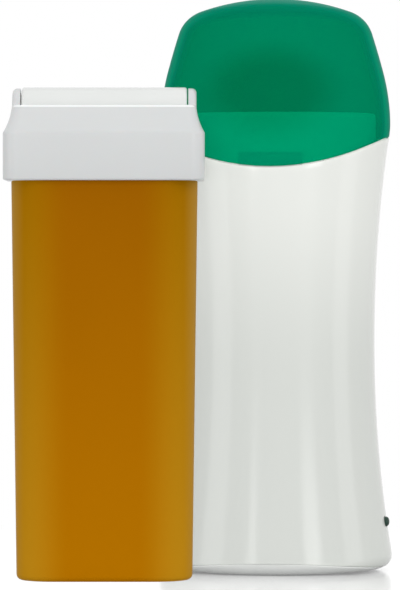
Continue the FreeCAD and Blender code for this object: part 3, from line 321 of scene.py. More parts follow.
def cover_point(way, ring):
    """Rings from the middle of the underside, round the foot to the seam and over the top."""
    angle = ROUND * way
    if ring <= FLAT_STEPS:
        share = ring / FLAT_STEPS
        return SEAT[0] * share * cos(angle), SEAT[1] * share * sin(angle), SEAT_TOP
    ring -= FLAT_STEPS + 1
    if ring == 0:
        return SEAT[0] * cos(angle), SEAT[1] * sin(angle), FOOT_LOW
    # set back from the shells in front and behind, and a proud, rounder rim at the four corners
    corner = sin(2 * angle) ** 2
    step = COVER_STEP - COVER_PROUD * corner
    rim = COVER_RIM[0] + (COVER_RIM[1] - COVER_RIM[0]) * corner
    seam = on_curve(angle, arch, ARCH_GUESS)
    low = foot_low(angle)
    if ring <= FOOT_STEPS:
        height = low + (seam - rim - low) * (ring / FOOT_STEPS) ** 2
        return on_wall(angle, height, step + COVER_LEAN * (seam - rim - height))
    ring -= FOOT_STEPS
    if ring <= RIM_STEPS:
        turn = ring / RIM_STEPS * pi / 2
        x, y, _ = on_wall(angle, seam - rim, step + rim * (1 - cos(turn)))
        return x, y, seam - rim * (1 - sin(turn))
    ring -= RIM_STEPS + 1
    if ring < 2:
        x, y, _ = on_wall(angle, seam, PLATE_INSET)
        return x, y, (seam, PLATE_TOP)[ring]
    return 0.0, 0.0, PLATE_TOP


def rod(radius, low, high, x=0.0, y=0.0, sides=48):
    """An upright cylinder, as a cutter or the start of a round piece."""
    bpy.ops.object.select_all(action="DESELECT")
    bpy.ops.mesh.primitive_cylinder_add(
        vertices=sides,
        radius=radius * MM,
        depth=(high - low) * MM,
        location=(x * MM, y * MM, (low + high) / 2 * MM),
    )
    apply_place()
    return bpy.context.object


cover_rings = FLAT_STEPS + 2 + FOOT_STEPS + RIM_STEPS + 3
cover = wrap("base_cover_shell", COVER_COLUMNS, cover_rings, cover_point)
# flat triangles, so that the screw holes cut cleanly
modify(cover, "TRIANGULATE")
SCREW_PLACES = [(x, y) for x in (-22.5, 22.5) for y in (-13.0, 13.0)]
# the wide part of a screw hole takes the head, the narrow part the shank: radius and top
SCREW_HOLE = ((2.8, 2.0), (1.6, 4.0))
HOLE_LOW = -1.0
for x, y in SCREW_PLACES:
    cut_away(cover, *[rod(radius, HOLE_LOW, top, x, y) for radius, top in SCREW_HOLE])
smooth(cover)

# glossy white ABS, straight from a polished mould: even colour, sharp but slightly soft gloss
shell_finish = surface(
    "abs_polished_white", "#ECEEE9", "#E8EAE5", 60, 0.15, 2.5, 0.003, spread=0.02, IOR=1.5
)
# painted shade: the body is painted a little greyer from below the rim downwards, fully so from half
# its height down
tree = shell_finish.node_tree
tint(shell_finish, zone(tree, (axes_of(tree)["Z"], 112.0, 55.0)), linear("#D8DBD6"))
# the cover's own moulding is a shade greyer and duller than the shells, and painted shade makes it
# greyer still towards its foot, which faces the table
cover_finish = surface("abs_grey_white", "#E6E8E5", "#E0E2DF", 30, 0.3, 1.0, 0.005, IOR=1.5)
tree = cover_finish.node_tree
tint(cover_finish, zone(tree, (axes_of(tree)["Z"], 3.6, 1.6)), linear("#D4D6D4"))
dress(cover, cover_finish)
stand_for(cover, "base_cover", "heater")

# ---------------------------------------------------------------- foot pad
# A pad of black rubber, glued into the cover's seat. Shallow ribs all round let it grip.

# the pad's half width and half depth, and the round of its lower edge
PAD = (23.5, 16.3)
PAD_EDGE = 0.4
RIBS = 5
RIB_PITCH = 2.4
# how far each groove runs in from its outer edge, and how deep it is there
GROOVE = ((0.0, 0.0), (-0.2, 0.3), (-0.9, 0.3), (-1.1, 0.0))


def quarter(steps):
    """Turns of a quarter round, from its start to its end."""
    return [step / steps * pi / 2 for step in range(steps + 1)]


pad_profile = [(0.0, 0.0, 0.0)]
for rib in range(RIBS, 0, -1):
    for run, depth in GROOVE:
        inset = rib * RIB_PITCH + run
        pad_profile.append((PAD[0] - inset, PAD[1] - inset, depth))
for turn in quarter(3):
    inset, rise = PAD_EDGE * (1 - sin(turn)), PAD_EDGE * (1 - cos(turn))
    pad_profile.append((PAD[0] - inset, PAD[1] - inset, rise))
pad_profile += [(*PAD, SEAT_TOP), (0.0, 0.0, SEAT_TOP)]
pad = smooth(turned("foot_pad_rubber", 160, pad_profile))
# moulded nitrile rubber: nearly black, dull, with a fine dusty grain
rubber = surface("rubber_black", "#2B2C2C", "#1E1F1F", 9, 0.72, 0.5, 0.02, Specular_IOR_Level=0.35)
dress(pad, rubber)
stand_for(pad, "foot_pad", "heater")

# ---------------------------------------------------------------- base screws
# Four self-tapping screws of zinc-plated steel, with pan heads and cross recesses.

HEAD_LOW = 1.0
# the head and one turn of the thread: radius and height
PAN_HEAD = ((0.0, 0.0), (1.7, 0.0), (2.3, 0.12), (2.55, 0.4), (2.6, 1.0))
THREAD = ((1.05, 0.0), (1.4, 0.3), (1.4, 0.4), (1.05, 0.7))
THREAD_LOW = 2.1
THREAD_PITCH = 0.85
THREADS = 9
SCREW_TOP = 10.0
# the cross recess: its arms, its waist and its depth
RECESS = (1.55, 0.5, 0.6)
screw_profile = [(radius, radius, HEAD_LOW + rise) for radius, rise in PAN_HEAD]
for thread in range(THREADS):
    low = THREAD_LOW + THREAD_PITCH * thread
    screw_profile += [(radius, radius, low + rise) for radius, rise in THREAD]
screw_profile.append((0.0, 0.0, SCREW_TOP))
screw = turned("base_screw", 40, screw_profile)
# the cross is a star of eight corners, every other one drawn in
cross = rod(RECESS[0], HEAD_LOW - RECESS[2], HEAD_LOW + RECESS[2], sides=8)
for vertex in cross.data.vertices:
    if round(atan2(vertex.co.y, vertex.co.x) / (pi / 4)) % 2:
        vertex.co.xy *= RECESS[1] / RECESS[0]
cut_away(screw, cross)
screws = []
for x, y in SCREW_PLACES:
    select_only(screw)
    bpy.ops.object.duplicate()
    bpy.ops.transform.translate(value=(x * MM, y * MM, 0))
    apply_place()
    screws.append(bpy.context.object)
bpy.data.objects.remove(screw)
select_only(*screws)
bpy.ops.object.join()
base_screws = smooth(screws[0], 30)
base_screws.name = "base_screws_steel"
# zinc-plated steel: bright grey metal, slightly clouded
screw_finish = surface("steel_zinc_plated", "#C9CBCC", "#AEB1B3", 3, 0.32, 0.3, 0.004, Metallic=1.0)
dress(base_screws, screw_finish)
stand_for(base_screws, "base_screws", "heater")

# ---------------------------------------------------------------- front and rear shells
# The body is two shells of the same glossy ABS, joined along the sides. Both stand on the
# cover's arch and end under the cap in a hollow curve. The front one takes the button, the
# rear one the mains inlet.

WALL = 1.6
EDGE = 0.3
# the curved joint between the cap and the body
SMILE_HEIGHT = 118.2
SMILE_RADIUS = 67.0
SMILE_GUESS = 120.0
# the gaps to the cover, to the cap and between the two shells
SEAM_GAP = 0.02
CAP_GAP = 0.3
PARTING_GAP = 0.12
SHELL_COLUMNS = 128
SHELL_RINGS = 110
# more than 1 draws the rings closer together at the foot
RING_CROWDING = 1.4


def smile(x, radius=SMILE_RADIUS):
    """The height of the curved joint between the cap and the body."""
    return SMILE_HEIGHT + SMILE_RADIUS - sqrt(radius**2 - x**2)


def round_edges(piece, width, sharper, segments=2):
    """Rounds the edges of a piece that are sharper than an angle."""
    settings = {"limit_method": "ANGLE", "angle_limit": radians(sharper), "segments": segments}
    modify(piece, "BEVEL", width=width * MM, **settings)


def thicken(piece):
    """Gives an outer face its wall and rounds the wall's edges."""
    modify(piece, "SOLIDIFY", thickness=WALL * MM, offset=-1.0, use_even_offset=True)
    round_edges(piece, EDGE, 50)


def shell_sheet(name, first, last):
    """One half of the body, between two angles: its outer face, then its wall."""

    def place(way, ring):
        angle = first + (last - first) * way
        low = on_curve(angle, lambda x: arch(x, ARCH_RADIUS + SEAM_GAP), ARCH_GUESS)
        high = on_curve(angle, lambda x: smile(x, SMILE_RADIUS + CAP_GAP), SMILE_GUESS)
        return on_wall(angle, low + (high - low) * (ring / (SHELL_RINGS - 1)) ** RING_CROWDING)

    shell = wrap(name, SHELL_COLUMNS, SHELL_RINGS, place)
    thicken(shell)
    return shell


def lay_across(bar, y, z):
    """Lays an upright bar along the width of its piece, at a depth and a height."""
    bar.rotation_euler = (0, radians(90), 0)
    bar.location = (0, y * MM, z * MM)
    apply_place()
    return bar


# the button's depth and height, and its hole: radius, and from where to where it is cut
BUTTON_AXIS = (-3.05, 14.45)
BUTTON_HOLE = (1.6, 25.0, 40.0)
front_shell = shell_sheet("front_shell_wall", pi, ROUND)
cut_away(front_shell, lay_across(rod(*BUTTON_HOLE), *BUTTON_AXIS))
dress(smooth(front_shell), shell_finish)
stand_for(front_shell, "front_shell", "heater")

# the opening for the inlet: width, depth of the cut and height; its middle; its corners
INLET_OPENING = (20.5, 20.0, 11.5)
INLET_MIDDLE = (0.0, 25.0, 12.8)
INLET_CORNER = 3.0
# the gap between the shells as an angle, about this far from the heater's axis
PARTING_REACH = 26.0
parting = asin(PARTING_GAP / PARTING_REACH)
rear_shell = shell_sheet("rear_shell_wall", parting, pi - parting)


def block(size, centre, corner, along):
    """A block whose four edges along one axis, 0 to 2, are rounded."""
    bpy.ops.object.select_all(action="DESELECT")
    bpy.ops.mesh.primitive_cube_add(size=1, location=[MM * place for place in centre])
    piece = bpy.context.object
    piece.scale = [MM * measure for measure in size]
    apply_place()
    bpy.ops.object.mode_set(mode="EDIT")
    bpy.ops.mesh.select_mode(type="EDGE")
    bpy.ops.mesh.select_all(action="DESELECT")
    bpy.ops.object.mode_set(mode="OBJECT")
    for edge in piece.data.edges:
        start, end = (piece.data.vertices[number].co[along] for number in edge.vertices)
        edge.select = abs(end - start) > WELD * MM
    bpy.ops.object.mode_set(mode="EDIT")
    bpy.ops.mesh.bevel(offset=corner * MM, segments=8, affect="EDGES")
    bpy.ops.object.mode_set(mode="OBJECT")
    return piece


cut_away(rear_shell, block(INLET_OPENING, INLET_MIDDLE, INLET_CORNER, 1))
dress(smooth(rear_shell), shell_finish)
stand_for(rear_shell, "rear_shell", "heater")

# ---------------------------------------------------------------- circuit board and what is on it
# The board lies on the cover's posts and carries the switch, the fuse, the capacitor and the
# pilot light. These pieces keep the frame's shapes and get their own finishes.

# FR-4 board under green solder resist: even green, faintly mottled
dress(nodes["circuit_board"], surface("fr4_green", "#1F6B45", "#175838", 4, 0.35, 0.8, 0.01))
dress(nodes["board_screws"], screw_finish)
# moulded capacitor case: red-brown, half matt
dress(nodes["film_capacitor"], surface("epoxy_red", "#9A2F24", "#862519", 3, 0.4, 0.4, 0.006))
# glass of the fuse's tube, clear and smooth
glass = surface(
    "glass_tube", "#DDE6E6", "#CFDADA", 3, 0.08, 1.0, 0.001, Transmission_Weight=0.6, IOR=1.5
)
dress(nodes["board_fuse"], glass)
# clear epoxy of the pilot light, a little green
epoxy = surface(
    "epoxy_clear_green", "#BFE8C8", "#A9DDB6", 2, 0.12, 0.6, 0.002, Transmission_Weight=0.5, IOR=1.5
)
dress(nodes["pilot_led"], epoxy)
# black nylon of the switch and the thermostat
nylon_black = surface("nylon_black", "#242525", "#191A1A", 5, 0.45, 0.3, 0.008, spread=0.06)
for name in ("power_switch", "switch_plunger", "thermostat"):
    dress(nodes[name], nylon_black)

# ---------------------------------------------------------------- heating stack
# An aluminium plate on the well's rear carries the PTC element, a mica sheet and a steel clip
# that presses them together. Two leads come up from the board.

# rolled aluminium: light grey metal, softly clouded
rolled = surface("aluminium_rolled", "#D6D8D9", "#C2C5C6", 6, 0.38, 0.4, 0.004, Metallic=1.0)
dress(nodes["heating_plate"], rolled)
# fired ceramic: mid grey and dull
dress(nodes["ptc_element"], surface("ceramic_grey", "#8D8F8C", "#7C7E7B", 4, 0.6, 0.5, 0.01))
# mica: pale brown and a little shiny
mica = surface("mica", "#C9B98F", "#B5A376", 5, 0.3, 1.5, 0.01, Specular_IOR_Level=0.6)
dress(nodes["mica_sheet"], mica)
# spring steel: darker than the screws and smooth
spring_steel = surface("spring_steel", "#A9ABAB", "#949696", 6, 0.3, 0.4, 0.003, Metallic=1.0)
dress(nodes["plate_clip"], spring_steel)
dress(nodes["clip_screws"], screw_finish)
# tinned case of the thermal fuse: soft grey metal
tinned = surface("fuse_tinned", "#BFC0BE", "#A8A9A7", 3, 0.34, 0.3, 0.003, Metallic=1.0)
dress(nodes["thermal_fuse"], tinned)
# silicone-sleeved leads: soft sheen
dress(nodes["live_lead"], surface("silicone_brown", "#6B4028", "#5A3420", 3, 0.5, 0.4, 0.01))
dress(nodes["neutral_lead"], surface("silicone_blue", "#2C5C94", "#234C7D", 3, 0.5, 0.4, 0.01))

# ---------------------------------------------------------------- mains inlet
# A black nylon inlet for a two-pole mains plug, behind its opening in the rear shell, with two
# nickel-plated brass pins.

dress(nodes["inlet_socket"], nylon_black)
# nickel on brass: bright and a little warm
nickel = surface("brass_nickel", "#CFC8B4", "#BDB59E", 3, 0.22, 0.4, 0.003, Metallic=1.0)
dress(nodes["inlet_pins"], nickel)

# ---------------------------------------------------------------- chamber liner and mouth collar
# The well that takes the cartridge is drawn aluminium sheet. The white ABS collar over it closes
# the body's mouth, guides the cap and shows through it as a paler band.

# drawn aluminium: light grey metal in broad soft clouds
drawn = surface("aluminium_drawn", "#CFD1D2", "#BCBFC0", 12, 0.36, 0.6, 0.006, Metallic=1.0)
dress(nodes["chamber_liner"], drawn)

# the collar's outer half width and half depth, its foot, top and wall, and the round of its top
COLLAR = (29.5, 23.6)
COLLAR_LOW = 110.5
COLLAR_TOP = 134.0
COLLAR_WALL = 1.2
COLLAR_ROUND = 1.0
# the deck closes it down to the mouth: half width, half depth and corner
DECK = 2.0
MOUTH = (26.95, 13.35, 11.35)
MOUTH_EDGE = 0.5
# the recess for the catch: half width and top, depth, how far its cutter reaches out and down,
# the cutter's corner, and the width over which its grey fades in
CATCH = (9.3, 122.3)
CATCH_DEPTH = 0.5
CATCH_REACH = 8.0
CATCH_CORNER = 0.6
CATCH_FADE = 0.2
# the core that leaves the collar's wall standing in the recess: its foot and top
CORE = (110.0, 130.0)


def rounded(half_width, half_depth, corner, angle):
    """A point of a rounded rectangle, seen from its middle at an angle."""
    x, y = cos(angle), sin(angle)
    tiny = 1e-9
    reach = min(half_width / max(abs(x), tiny), half_depth / max(abs(y), tiny))
    middle_x = copysign(half_width - corner, x)
    middle_y = copysign(half_depth - corner, y)
    if abs(reach * x) > abs(middle_x) and abs(reach * y) > abs(middle_y):
        along = middle_x * x + middle_y * y
        reach = along + sqrt(along**2 - middle_x**2 - middle_y**2 + corner**2)
    return reach * x, reach * y


collar_rings = [("oval", 0.0, COLLAR_LOW), ("oval", 0.0, COLLAR_TOP - 3 * COLLAR_ROUND)]
for turn in quarter(6):
    inset, fall = COLLAR_ROUND * (1 - cos(turn)), COLLAR_ROUND * (1 - sin(turn))
    collar_rings.append(("oval", inset, COLLAR_TOP - fall))
for turn in quarter(4):
    grow, fall = MOUTH_EDGE * (1 - sin(turn)), MOUTH_EDGE * (1 - cos(turn))
    collar_rings.append(("mouth", grow, COLLAR_TOP - fall))
collar_rings += [
    ("mouth", 0.0, COLLAR_TOP - DECK),
    ("oval", COLLAR_WALL, COLLAR_TOP - DECK),
    ("oval", COLLAR_WALL, COLLAR_LOW),
    ("oval", 0.0, COLLAR_LOW),
]


def collar_point(way, ring):
    """A point of the collar: outside, round the rim, over the deck, down the mouth and back."""
    kind, inset, height = collar_rings[ring]
    angle = ROUND * way
    if kind == "mouth":
        return *rounded(MOUTH[0] + inset, MOUTH[1] + inset, MOUTH[2] + inset, angle), height
    return (COLLAR[0] - inset) * cos(angle), (COLLAR[1] - inset) * sin(angle), height


collar = wrap("mouth_collar_rim", 240, len(collar_rings), collar_point)
# a shallow recess in front takes the catch inside the cap
core_size = [half - CATCH_DEPTH for half in COLLAR]
low, high = CORE
core_profile = [(0.0, 0.0, low), (*core_size, low), (*core_size, high), (0.0, 0.0, high)]
recess_size = (2 * CATCH[0], CATCH_REACH, CATCH_REACH)
recess_middle = (0.0, -COLLAR[1], CATCH[1] - CATCH_REACH / 2)
recess = block(recess_size, recess_middle, CATCH_CORNER, 1)
cut_away(recess, turned("core", 160, core_profile))
cut_away(collar, recess)
smooth(collar)
# white ABS with a fine satin texture from the mould
collar_finish = surface("abs_white_satin", "#E8EAE6", "#E2E4E0", 20, 0.42, 0.6, 0.008, IOR=1.5)
# painted shade: the catch's recess is painted greyer, as if in shade. The zone has no front or rear,
# so the same stretch of the rear is painted grey too, where there is no recess
tree = collar_finish.node_tree
axes = axes_of(tree)
aside = add(tree, "ShaderNodeMath", {0: axes["X"]}, operation="ABSOLUTE").outputs[0]
within = (aside, CATCH[0], CATCH[0] - CATCH_FADE)
below = (axes["Z"], CATCH[1], CATCH[1] - CATCH_FADE)
tint(collar_finish, zone(tree, within, below), linear("#C0C4C0"))
dress(collar, collar_finish)
stand_for(collar, "mouth_collar", "heater")

# ---------------------------------------------------------------- power button
# A small key of dark green translucent ABS, low on the right side, which the pilot light
# shines through. It slides in its hole and presses the switch.

# the key's radius, the height of its dome, how far it ends short of the frame's key, and its
# flange: radius and thickness
BUTTON_RADIUS = 1.45
BUTTON_DOME = 0.9
BUTTON_SUNK = 0.45
FLANGE = (2.4, 0.8)
button_low, button_high = [corner.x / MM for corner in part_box("power_button")]
key_rings = [(0.0, button_low), (FLANGE[0], button_low)]
key_rings += [(radius, button_low + FLANGE[1]) for radius in (FLANGE[0], BUTTON_RADIUS)]
for turn in quarter(10):
    reach = button_high - BUTTON_SUNK - BUTTON_DOME * (1 - sin(turn))
    key_rings.append((BUTTON_RADIUS * cos(turn), reach))


def key_point(way, ring):
    """A point of the key, turned about its own axis across the heater."""
    radius, reach = key_rings[ring]
    angle = ROUND * way
    return reach, BUTTON_AXIS[0] + radius * cos(angle), BUTTON_AXIS[1] + radius * sin(angle)


key = smooth(wrap("power_button_key", 64, len(key_rings), key_point))
# dark green ABS, so deep that it hardly looks translucent, with a soft gloss
key_finish = surface(
    "abs_green_dark", "#1F4034", "#163228", 1.5, 0.25, 0.5, 0.003, Specular_IOR_Level=0.3
)
dress(key, key_finish)
stand_for(key, "power_button", "button")

# ---------------------------------------------------------------- cap
# The cap is one thin shell of translucent green polypropylene, moulded through a gate near its
# top. It drops over the collar and lands on the curved rim of the body.

CROWN_RADIUS = 66.0
CROWN_HEIGHT = 167.8
# the round between wall and crown, and the lowest height at which it can start
RIM_RADIUS = 10.0
RIM_LOWEST = 140.0
CAP_COLUMNS = 240
SIDE_RINGS = 44
RIM_RINGS = 14
CROWN_RINGS = 26
crown_centre = CROWN_HEIGHT - CROWN_RADIUS


def rim_of(angle):
    """Where the round of the rim leaves the wall, its centre, and the turns it goes through.
    The start is found by halving a range of heights thirty times."""
    low, high = RIM_LOWEST, CROWN_HEIGHT
    step = 0.1
    for _ in range(30):
        start = (low + high) / 2
        x, y, _ = on_wall(angle, start)
        ahead = on_wall(angle, start + step)
        slope = (hypot(ahead[0], ahead[1]) - hypot(x, y)) / step
        length = sqrt(1 + slope**2)
        reach = hypot(x, y) - RIM_RADIUS / length
        height = start + RIM_RADIUS * slope / length
        if hypot(reach, height - crown_centre) < CROWN_RADIUS - RIM_RADIUS:
            low = start
        else:
            high = start
    return start, reach, height, atan2(-slope, 1), atan2(height - crown_centre, reach), atan2(y, x)


def cap_point(way, ring):
    """A point of the cap's outside: up the wall from the curved edge, round the rim, to the top."""
    angle = ROUND * way
    start, reach, height, first, last, heading = rims[round(way * CAP_COLUMNS)]
    if ring <= SIDE_RINGS:
        edge = on_curve(angle, smile, SMILE_GUESS)
        return on_wall(angle, edge + (start - edge) * ring / SIDE_RINGS)
    ring -= SIDE_RINGS
    if ring <= RIM_RINGS:
        turn = first + (last - first) * ring / RIM_RINGS
        out = reach + RIM_RADIUS * cos(turn)
        return out * cos(heading), out * sin(heading), height + RIM_RADIUS * sin(turn)
    turn = last + (pi / 2 - last) * (ring - RIM_RINGS) / CROWN_RINGS
    out = CROWN_RADIUS * cos(turn)
    return out * cos(heading), out * sin(heading), crown_centre + CROWN_RADIUS * sin(turn)


rims = [rim_of(ROUND * column / CAP_COLUMNS) for column in range(CAP_COLUMNS + 1)]
cap = wrap("cap_shell", CAP_COLUMNS, SIDE_RINGS + RIM_RINGS + CROWN_RINGS + 1, cap_point)
thicken(cap)
smooth(cap, 40)

# translucent polypropylene, tinted deep green: light passes both faces of the wall, so what
# lies behind it shows as a paler or darker green
cap_finish = surface(
    "polypropylene_green", "#008F77", "#008971", 40, 0.35, 3, 0.001,
    spread=0.02, IOR=1.15, Specular_IOR_Level=0.03,
)
tree = cap_finish.node_tree
# painted shade: a darker oval is painted in the middle of the cap's broad faces, round this height,
# with its upright and level size, and where the darkening starts and is full
SHADE_PATCH_HEIGHT = 140.0
SHADE_PATCH = (13.0, 19.0)
SHADE_PATCH_EDGE = (1.3, 0.5)
axes = axes_of(tree)
across = add(tree, "ShaderNodeMath", {0: axes["X"], 1: SHADE_PATCH[0] / SHADE_PATCH[1]}, operation="MULTIPLY")
upward = add(tree, "ShaderNodeMath", {0: axes["Z"], 1: SHADE_PATCH_HEIGHT * MM}, operation="SUBTRACT")
way_out = add(tree, "ShaderNodeCombineXYZ", {"X": across.outputs[0], "Z": upward.outputs[0]})
way_out = add(tree, "ShaderNodeVectorMath", {0: way_out.outputs[0]}, operation="LENGTH")
middle = (way_out.outputs["Value"], SHADE_PATCH[0] * SHADE_PATCH_EDGE[0], SHADE_PATCH[0] * SHADE_PATCH_EDGE[1])
tint(cap_finish, zone(tree, middle, most=0.56), linear("#00604A"))
# the share of light that passes, up to where the wall turns away and none does: seen edge-on,
# the wall is thicker
CAP_CLEAR = 0.58
EDGE_ON = (0.5, 0.92)
facing = add(tree, "ShaderNodeLayerWeight", {"Blend": 0.5}).outputs["Facing"]
ends = {"From Min": EDGE_ON[0], "From Max": EDGE_ON[1], "To Min": CAP_CLEAR, "To Max": 0.0}
open_share = add(tree, "ShaderNodeMapRange", {"Value": facing, **ends}).outputs[0]
seen_through = add(tree, "ShaderNodeBsdfTransparent", {"Color": linear("#00E4B6")}).outputs[0]
parts = {0: open_share, 1: shader_of(tree).outputs[0], 2: seen_through}
both = add(tree, "ShaderNodeMixShader", parts).outputs[0]
output = next(node for node in tree.nodes if node.type == "OUTPUT_MATERIAL")
tree.links.new(both, output.inputs["Surface"])
dress(cap, cap_finish)
stand_for(cap, "cap", "cap")
# its thin wall lets light through on all sides, so it throws no shadow and no colour on the collar
cap.visible_shadow = False
cap.visible_diffuse = False

# ---------------------------------------------------------------- wax container
# The cartridge is what the heater warms. Its container is blown in amber polypropylene, with
# rounded corners, a slight taper and a neck that plugs into the head. It holds the set wax.

# where the cartridge stands beside the heater, and how it is turned
TURN = radians(4.9)
STAND = (-46.2, -40.2)
# half widths at the foot and the brim, half depth, corner, height and wall
CONTAINER_BOTTOM = 25.1
CONTAINER_TOP = 26.6
CONTAINER_HALF_DEPTH = 13.0
CONTAINER_CORNER = 11.0
CONTAINER_HEIGHT = 113.8
CONTAINER_WALL = 1.4
FOOT_ROUND = 1.6
BRIM_ROUND = 0.5
WALL_STEPS = 24
# the neck: half width, half depth and corner
NECK = (23.8, 10.8, 8.0)
NECK_TOP = 118.6
NECK_WALL = 1.6


def container_ring(height, inset):
    """The container's section at a height, drawn in all round."""
    half_width = CONTAINER_BOTTOM + (CONTAINER_TOP - CONTAINER_BOTTOM) * height / CONTAINER_HEIGHT
    return half_width - inset, CONTAINER_HALF_DEPTH - inset, CONTAINER_CORNER - inset, height


def neck_ring(height, inset):
    """The neck's section at a height, drawn in all round."""
    return NECK[0] - inset, NECK[1] - inset, NECK[2] - inset, height


container_rings = [(0.0, 0.0, 0.0, 0.0)]
for turn in quarter(6):
    inset, rise = FOOT_ROUND * (1 - sin(turn)), FOOT_ROUND * (1 - cos(turn))
    container_rings.append((*container_ring(rise, inset)[:3], rise))
wall_height = CONTAINER_HEIGHT - BRIM_ROUND - FOOT_ROUND
for step in range(1, WALL_STEPS + 1):
    container_rings.append(container_ring(FOOT_ROUND + wall_height * (step / WALL_STEPS), 0.0))
for turn in quarter(3)[1:]:
    inset, fall = BRIM_ROUND * (1 - cos(turn)), BRIM_ROUND * (1 - sin(turn))
    container_rings.append(container_ring(CONTAINER_HEIGHT - fall, inset))
container_rings += [
    neck_ring(CONTAINER_HEIGHT, 0.0),
    neck_ring(NECK_TOP, 0.0),
    neck_ring(NECK_TOP, NECK_WALL),
    neck_ring(CONTAINER_HEIGHT - CONTAINER_WALL, NECK_WALL),
    container_ring(CONTAINER_HEIGHT - CONTAINER_WALL, CONTAINER_WALL),
    container_ring(CONTAINER_WALL, CONTAINER_WALL),
    (0.0, 0.0, 0.0, CONTAINER_WALL),
]


def container_point(way, ring):
    """A point of the container: underside, wall, brim, neck and back down the inside."""
    half_width, half_depth, corner, height = container_rings[ring]
    return *rounded(half_width, half_depth, corner, ROUND * way), height


def stand_cartridge(piece):
    """Sets a piece, made about the cartridge's own axis, in its place beside the heater."""
    select_only(piece)
    piece.rotation_euler = (0, 0, TURN)
    piece.location = (STAND[0] * MM, STAND[1] * MM, 0)
    apply_place()
    return piece


def cartridge_axes(tree):
    """The three coordinates of a place, seen from the cartridge's own axis."""
    place = add(tree, "ShaderNodeTexCoord").outputs["Object"]
    foot = (STAND[0] * MM, STAND[1] * MM, 0)
    turned_by = {"Vector": place, "Location": foot, "Rotation": (0, 0, TURN)}
    own = add(tree, "ShaderNodeMapping", turned_by, vector_type="TEXTURE").outputs[0]
    return add(tree, "ShaderNodeSeparateXYZ", {0: own}).outputs


container = wrap("cartridge_container_amber", 240, len(container_rings), container_point)
smooth(stand_cartridge(container))

# amber polypropylene over honey-coloured wax: deep orange in the middle and at the top, paler towards
# the sides and towards the foot
container_finish = surface(
    "polypropylene_amber", "#A06002", "#985A00", 30, 0.3, 6, 0.004,
    spread=0.02, IOR=1.15, Specular_IOR_Level=0.03,
)
tree = container_finish.node_tree
axes = cartridge_axes(tree)
aside = add(tree, "ShaderNodeMath", {0: axes["X"]}, operation="ABSOLUTE").outputs[0]
# the flanks and the edges, as shares of the half width at which they start and are full
FLANK = (0.35, 0.85)
SIDE = (0.84, 1.0)
ends = {"Value": axes["Z"], "From Min": CONTAINER_HEIGHT * MM, "From Max": 0.0, "To Max": 0.8}
downward = add(tree, "ShaderNodeMapRange", ends).outputs[0]
tint(container_finish, downward, linear("#BC7700"))
shades = {0: downward, 6: linear("#A47202"), 7: linear("#CC9820")}
flank = add(tree, "ShaderNodeMix", shades, data_type="RGBA").outputs[2]
to_flank = (aside, *[CONTAINER_TOP * share for share in FLANK])
tint(container_finish, zone(tree, to_flank, most=0.7), flank)
to_side = (aside, *[CONTAINER_TOP * share for share in SIDE])
tint(container_finish, zone(tree, to_side, most=0.75), linear("#B48A38"))
dress(container, container_finish)
stand_for(container, "cartridge_container", "cartridge")
# the container and its wax throw no colour on the white body beside them and aren't mirrored
for piece in (container, nodes["wax_fill"]):
    piece.visible_diffuse = False
    piece.visible_glossy = False
# the wax itself: honey-coloured, soft and a little glossy
wax = surface(
    "wax_honey", "#C08420", "#A86C10", 15, 0.3, 2, 0.03, Subsurface_Weight=0.4, Subsurface_Scale=0.004
)
dress(nodes["wax_fill"], wax)

# ---------------------------------------------------------------- applicator head
# The head is moulded in white polypropylene and plugs onto the neck. A sloping brow narrows it
# to a lip, and two ears hold the roller over its trough.

# the head's width, depth and upright corners
HEAD = (57.2, 31.0)
HEAD_CORNER = 4.0
# the foot and top of the upright skirt
SKIRT = (113.8, 127.2)
# the brow from the skirt to the lip: height, half width, half depth
BROW = (
    (127.2, 28.6, 15.5),
    (128.6, 27.85, 14.5),
    (130.2, 27.2, 13.36),
    (132.2, 26.6, 11.93),
    (135.2, 26.1, 9.8),
)
# the rounds of the skirt's and the brow's edges, and of the lip and the ears
HEAD_EDGE = 0.55
LIP_EDGE = 0.25
# the ears' outer form and the trough between them: radius and half length
ROLLER_AXIS = 132.9
EARS = (7.3, 26.25)
EAR_EDGE = 1.3
TROUGH = (8.0, 23.95)
# cut in from below: the socket for the neck, the seat of the metering gate and the slot that the
# wax runs through, each with its width, depth, corner and top
CUT_FOOT = 112.0
HEAD_CUTS = ((48.0, 22.0, 8.2, 118.8), (42.4, 12.4, 2.5, 120.4), (38.0, 4.0, 1.3, 127.0))


def crosswise(radius, half):
    """A round bar along the cartridge's width, at the roller's axis."""
    return lay_across(rod(radius, -half, half, sides=96), 0.0, ROLLER_AXIS)


head = block((*HEAD, SKIRT[1] - SKIRT[0]), (0.0, 0.0, sum(SKIRT) / 2), HEAD_CORNER, 2)
head.name = head.data.name = "cartridge_head_white"
bpy.ops.object.mode_set(mode="EDIT")
bpy.ops.mesh.select_mode(type="FACE")
bpy.ops.mesh.select_all(action="DESELECT")
bpy.ops.object.mode_set(mode="OBJECT")
for face in head.data.polygons:
    face.select = face.normal.z > 0.9
bpy.ops.object.mode_set(mode="EDIT")
for low, high in zip(BROW, BROW[1:]):
    lift = {"value": (0, 0, (high[0] - low[0]) * MM)}
    bpy.ops.mesh.extrude_region_move(TRANSFORM_OT_translate=lift)
    narrower = (high[1] / low[1], high[2] / low[2], 1)
    bpy.ops.transform.resize(value=narrower, center_override=(0, 0, high[0] * MM))
bpy.ops.object.mode_set(mode="OBJECT")
round_edges(head, HEAD_EDGE, 32, segments=4)
ears = crosswise(*EARS)
round_edges(ears, EAR_EDGE, 60, segments=5)
cut_away(head, ears, operation="UNION")
cut_away(head, crosswise(*TROUGH))
for width, depth, corner, top in HEAD_CUTS:
    size = (width, depth, top - CUT_FOOT)
    cut_away(head, block(size, (0, 0, (top + CUT_FOOT) / 2), corner, 2))
# the lip and the ears' inner edges are just rounded off
round_edges(head, LIP_EDGE, 55)
smooth(stand_cartridge(head), 40)
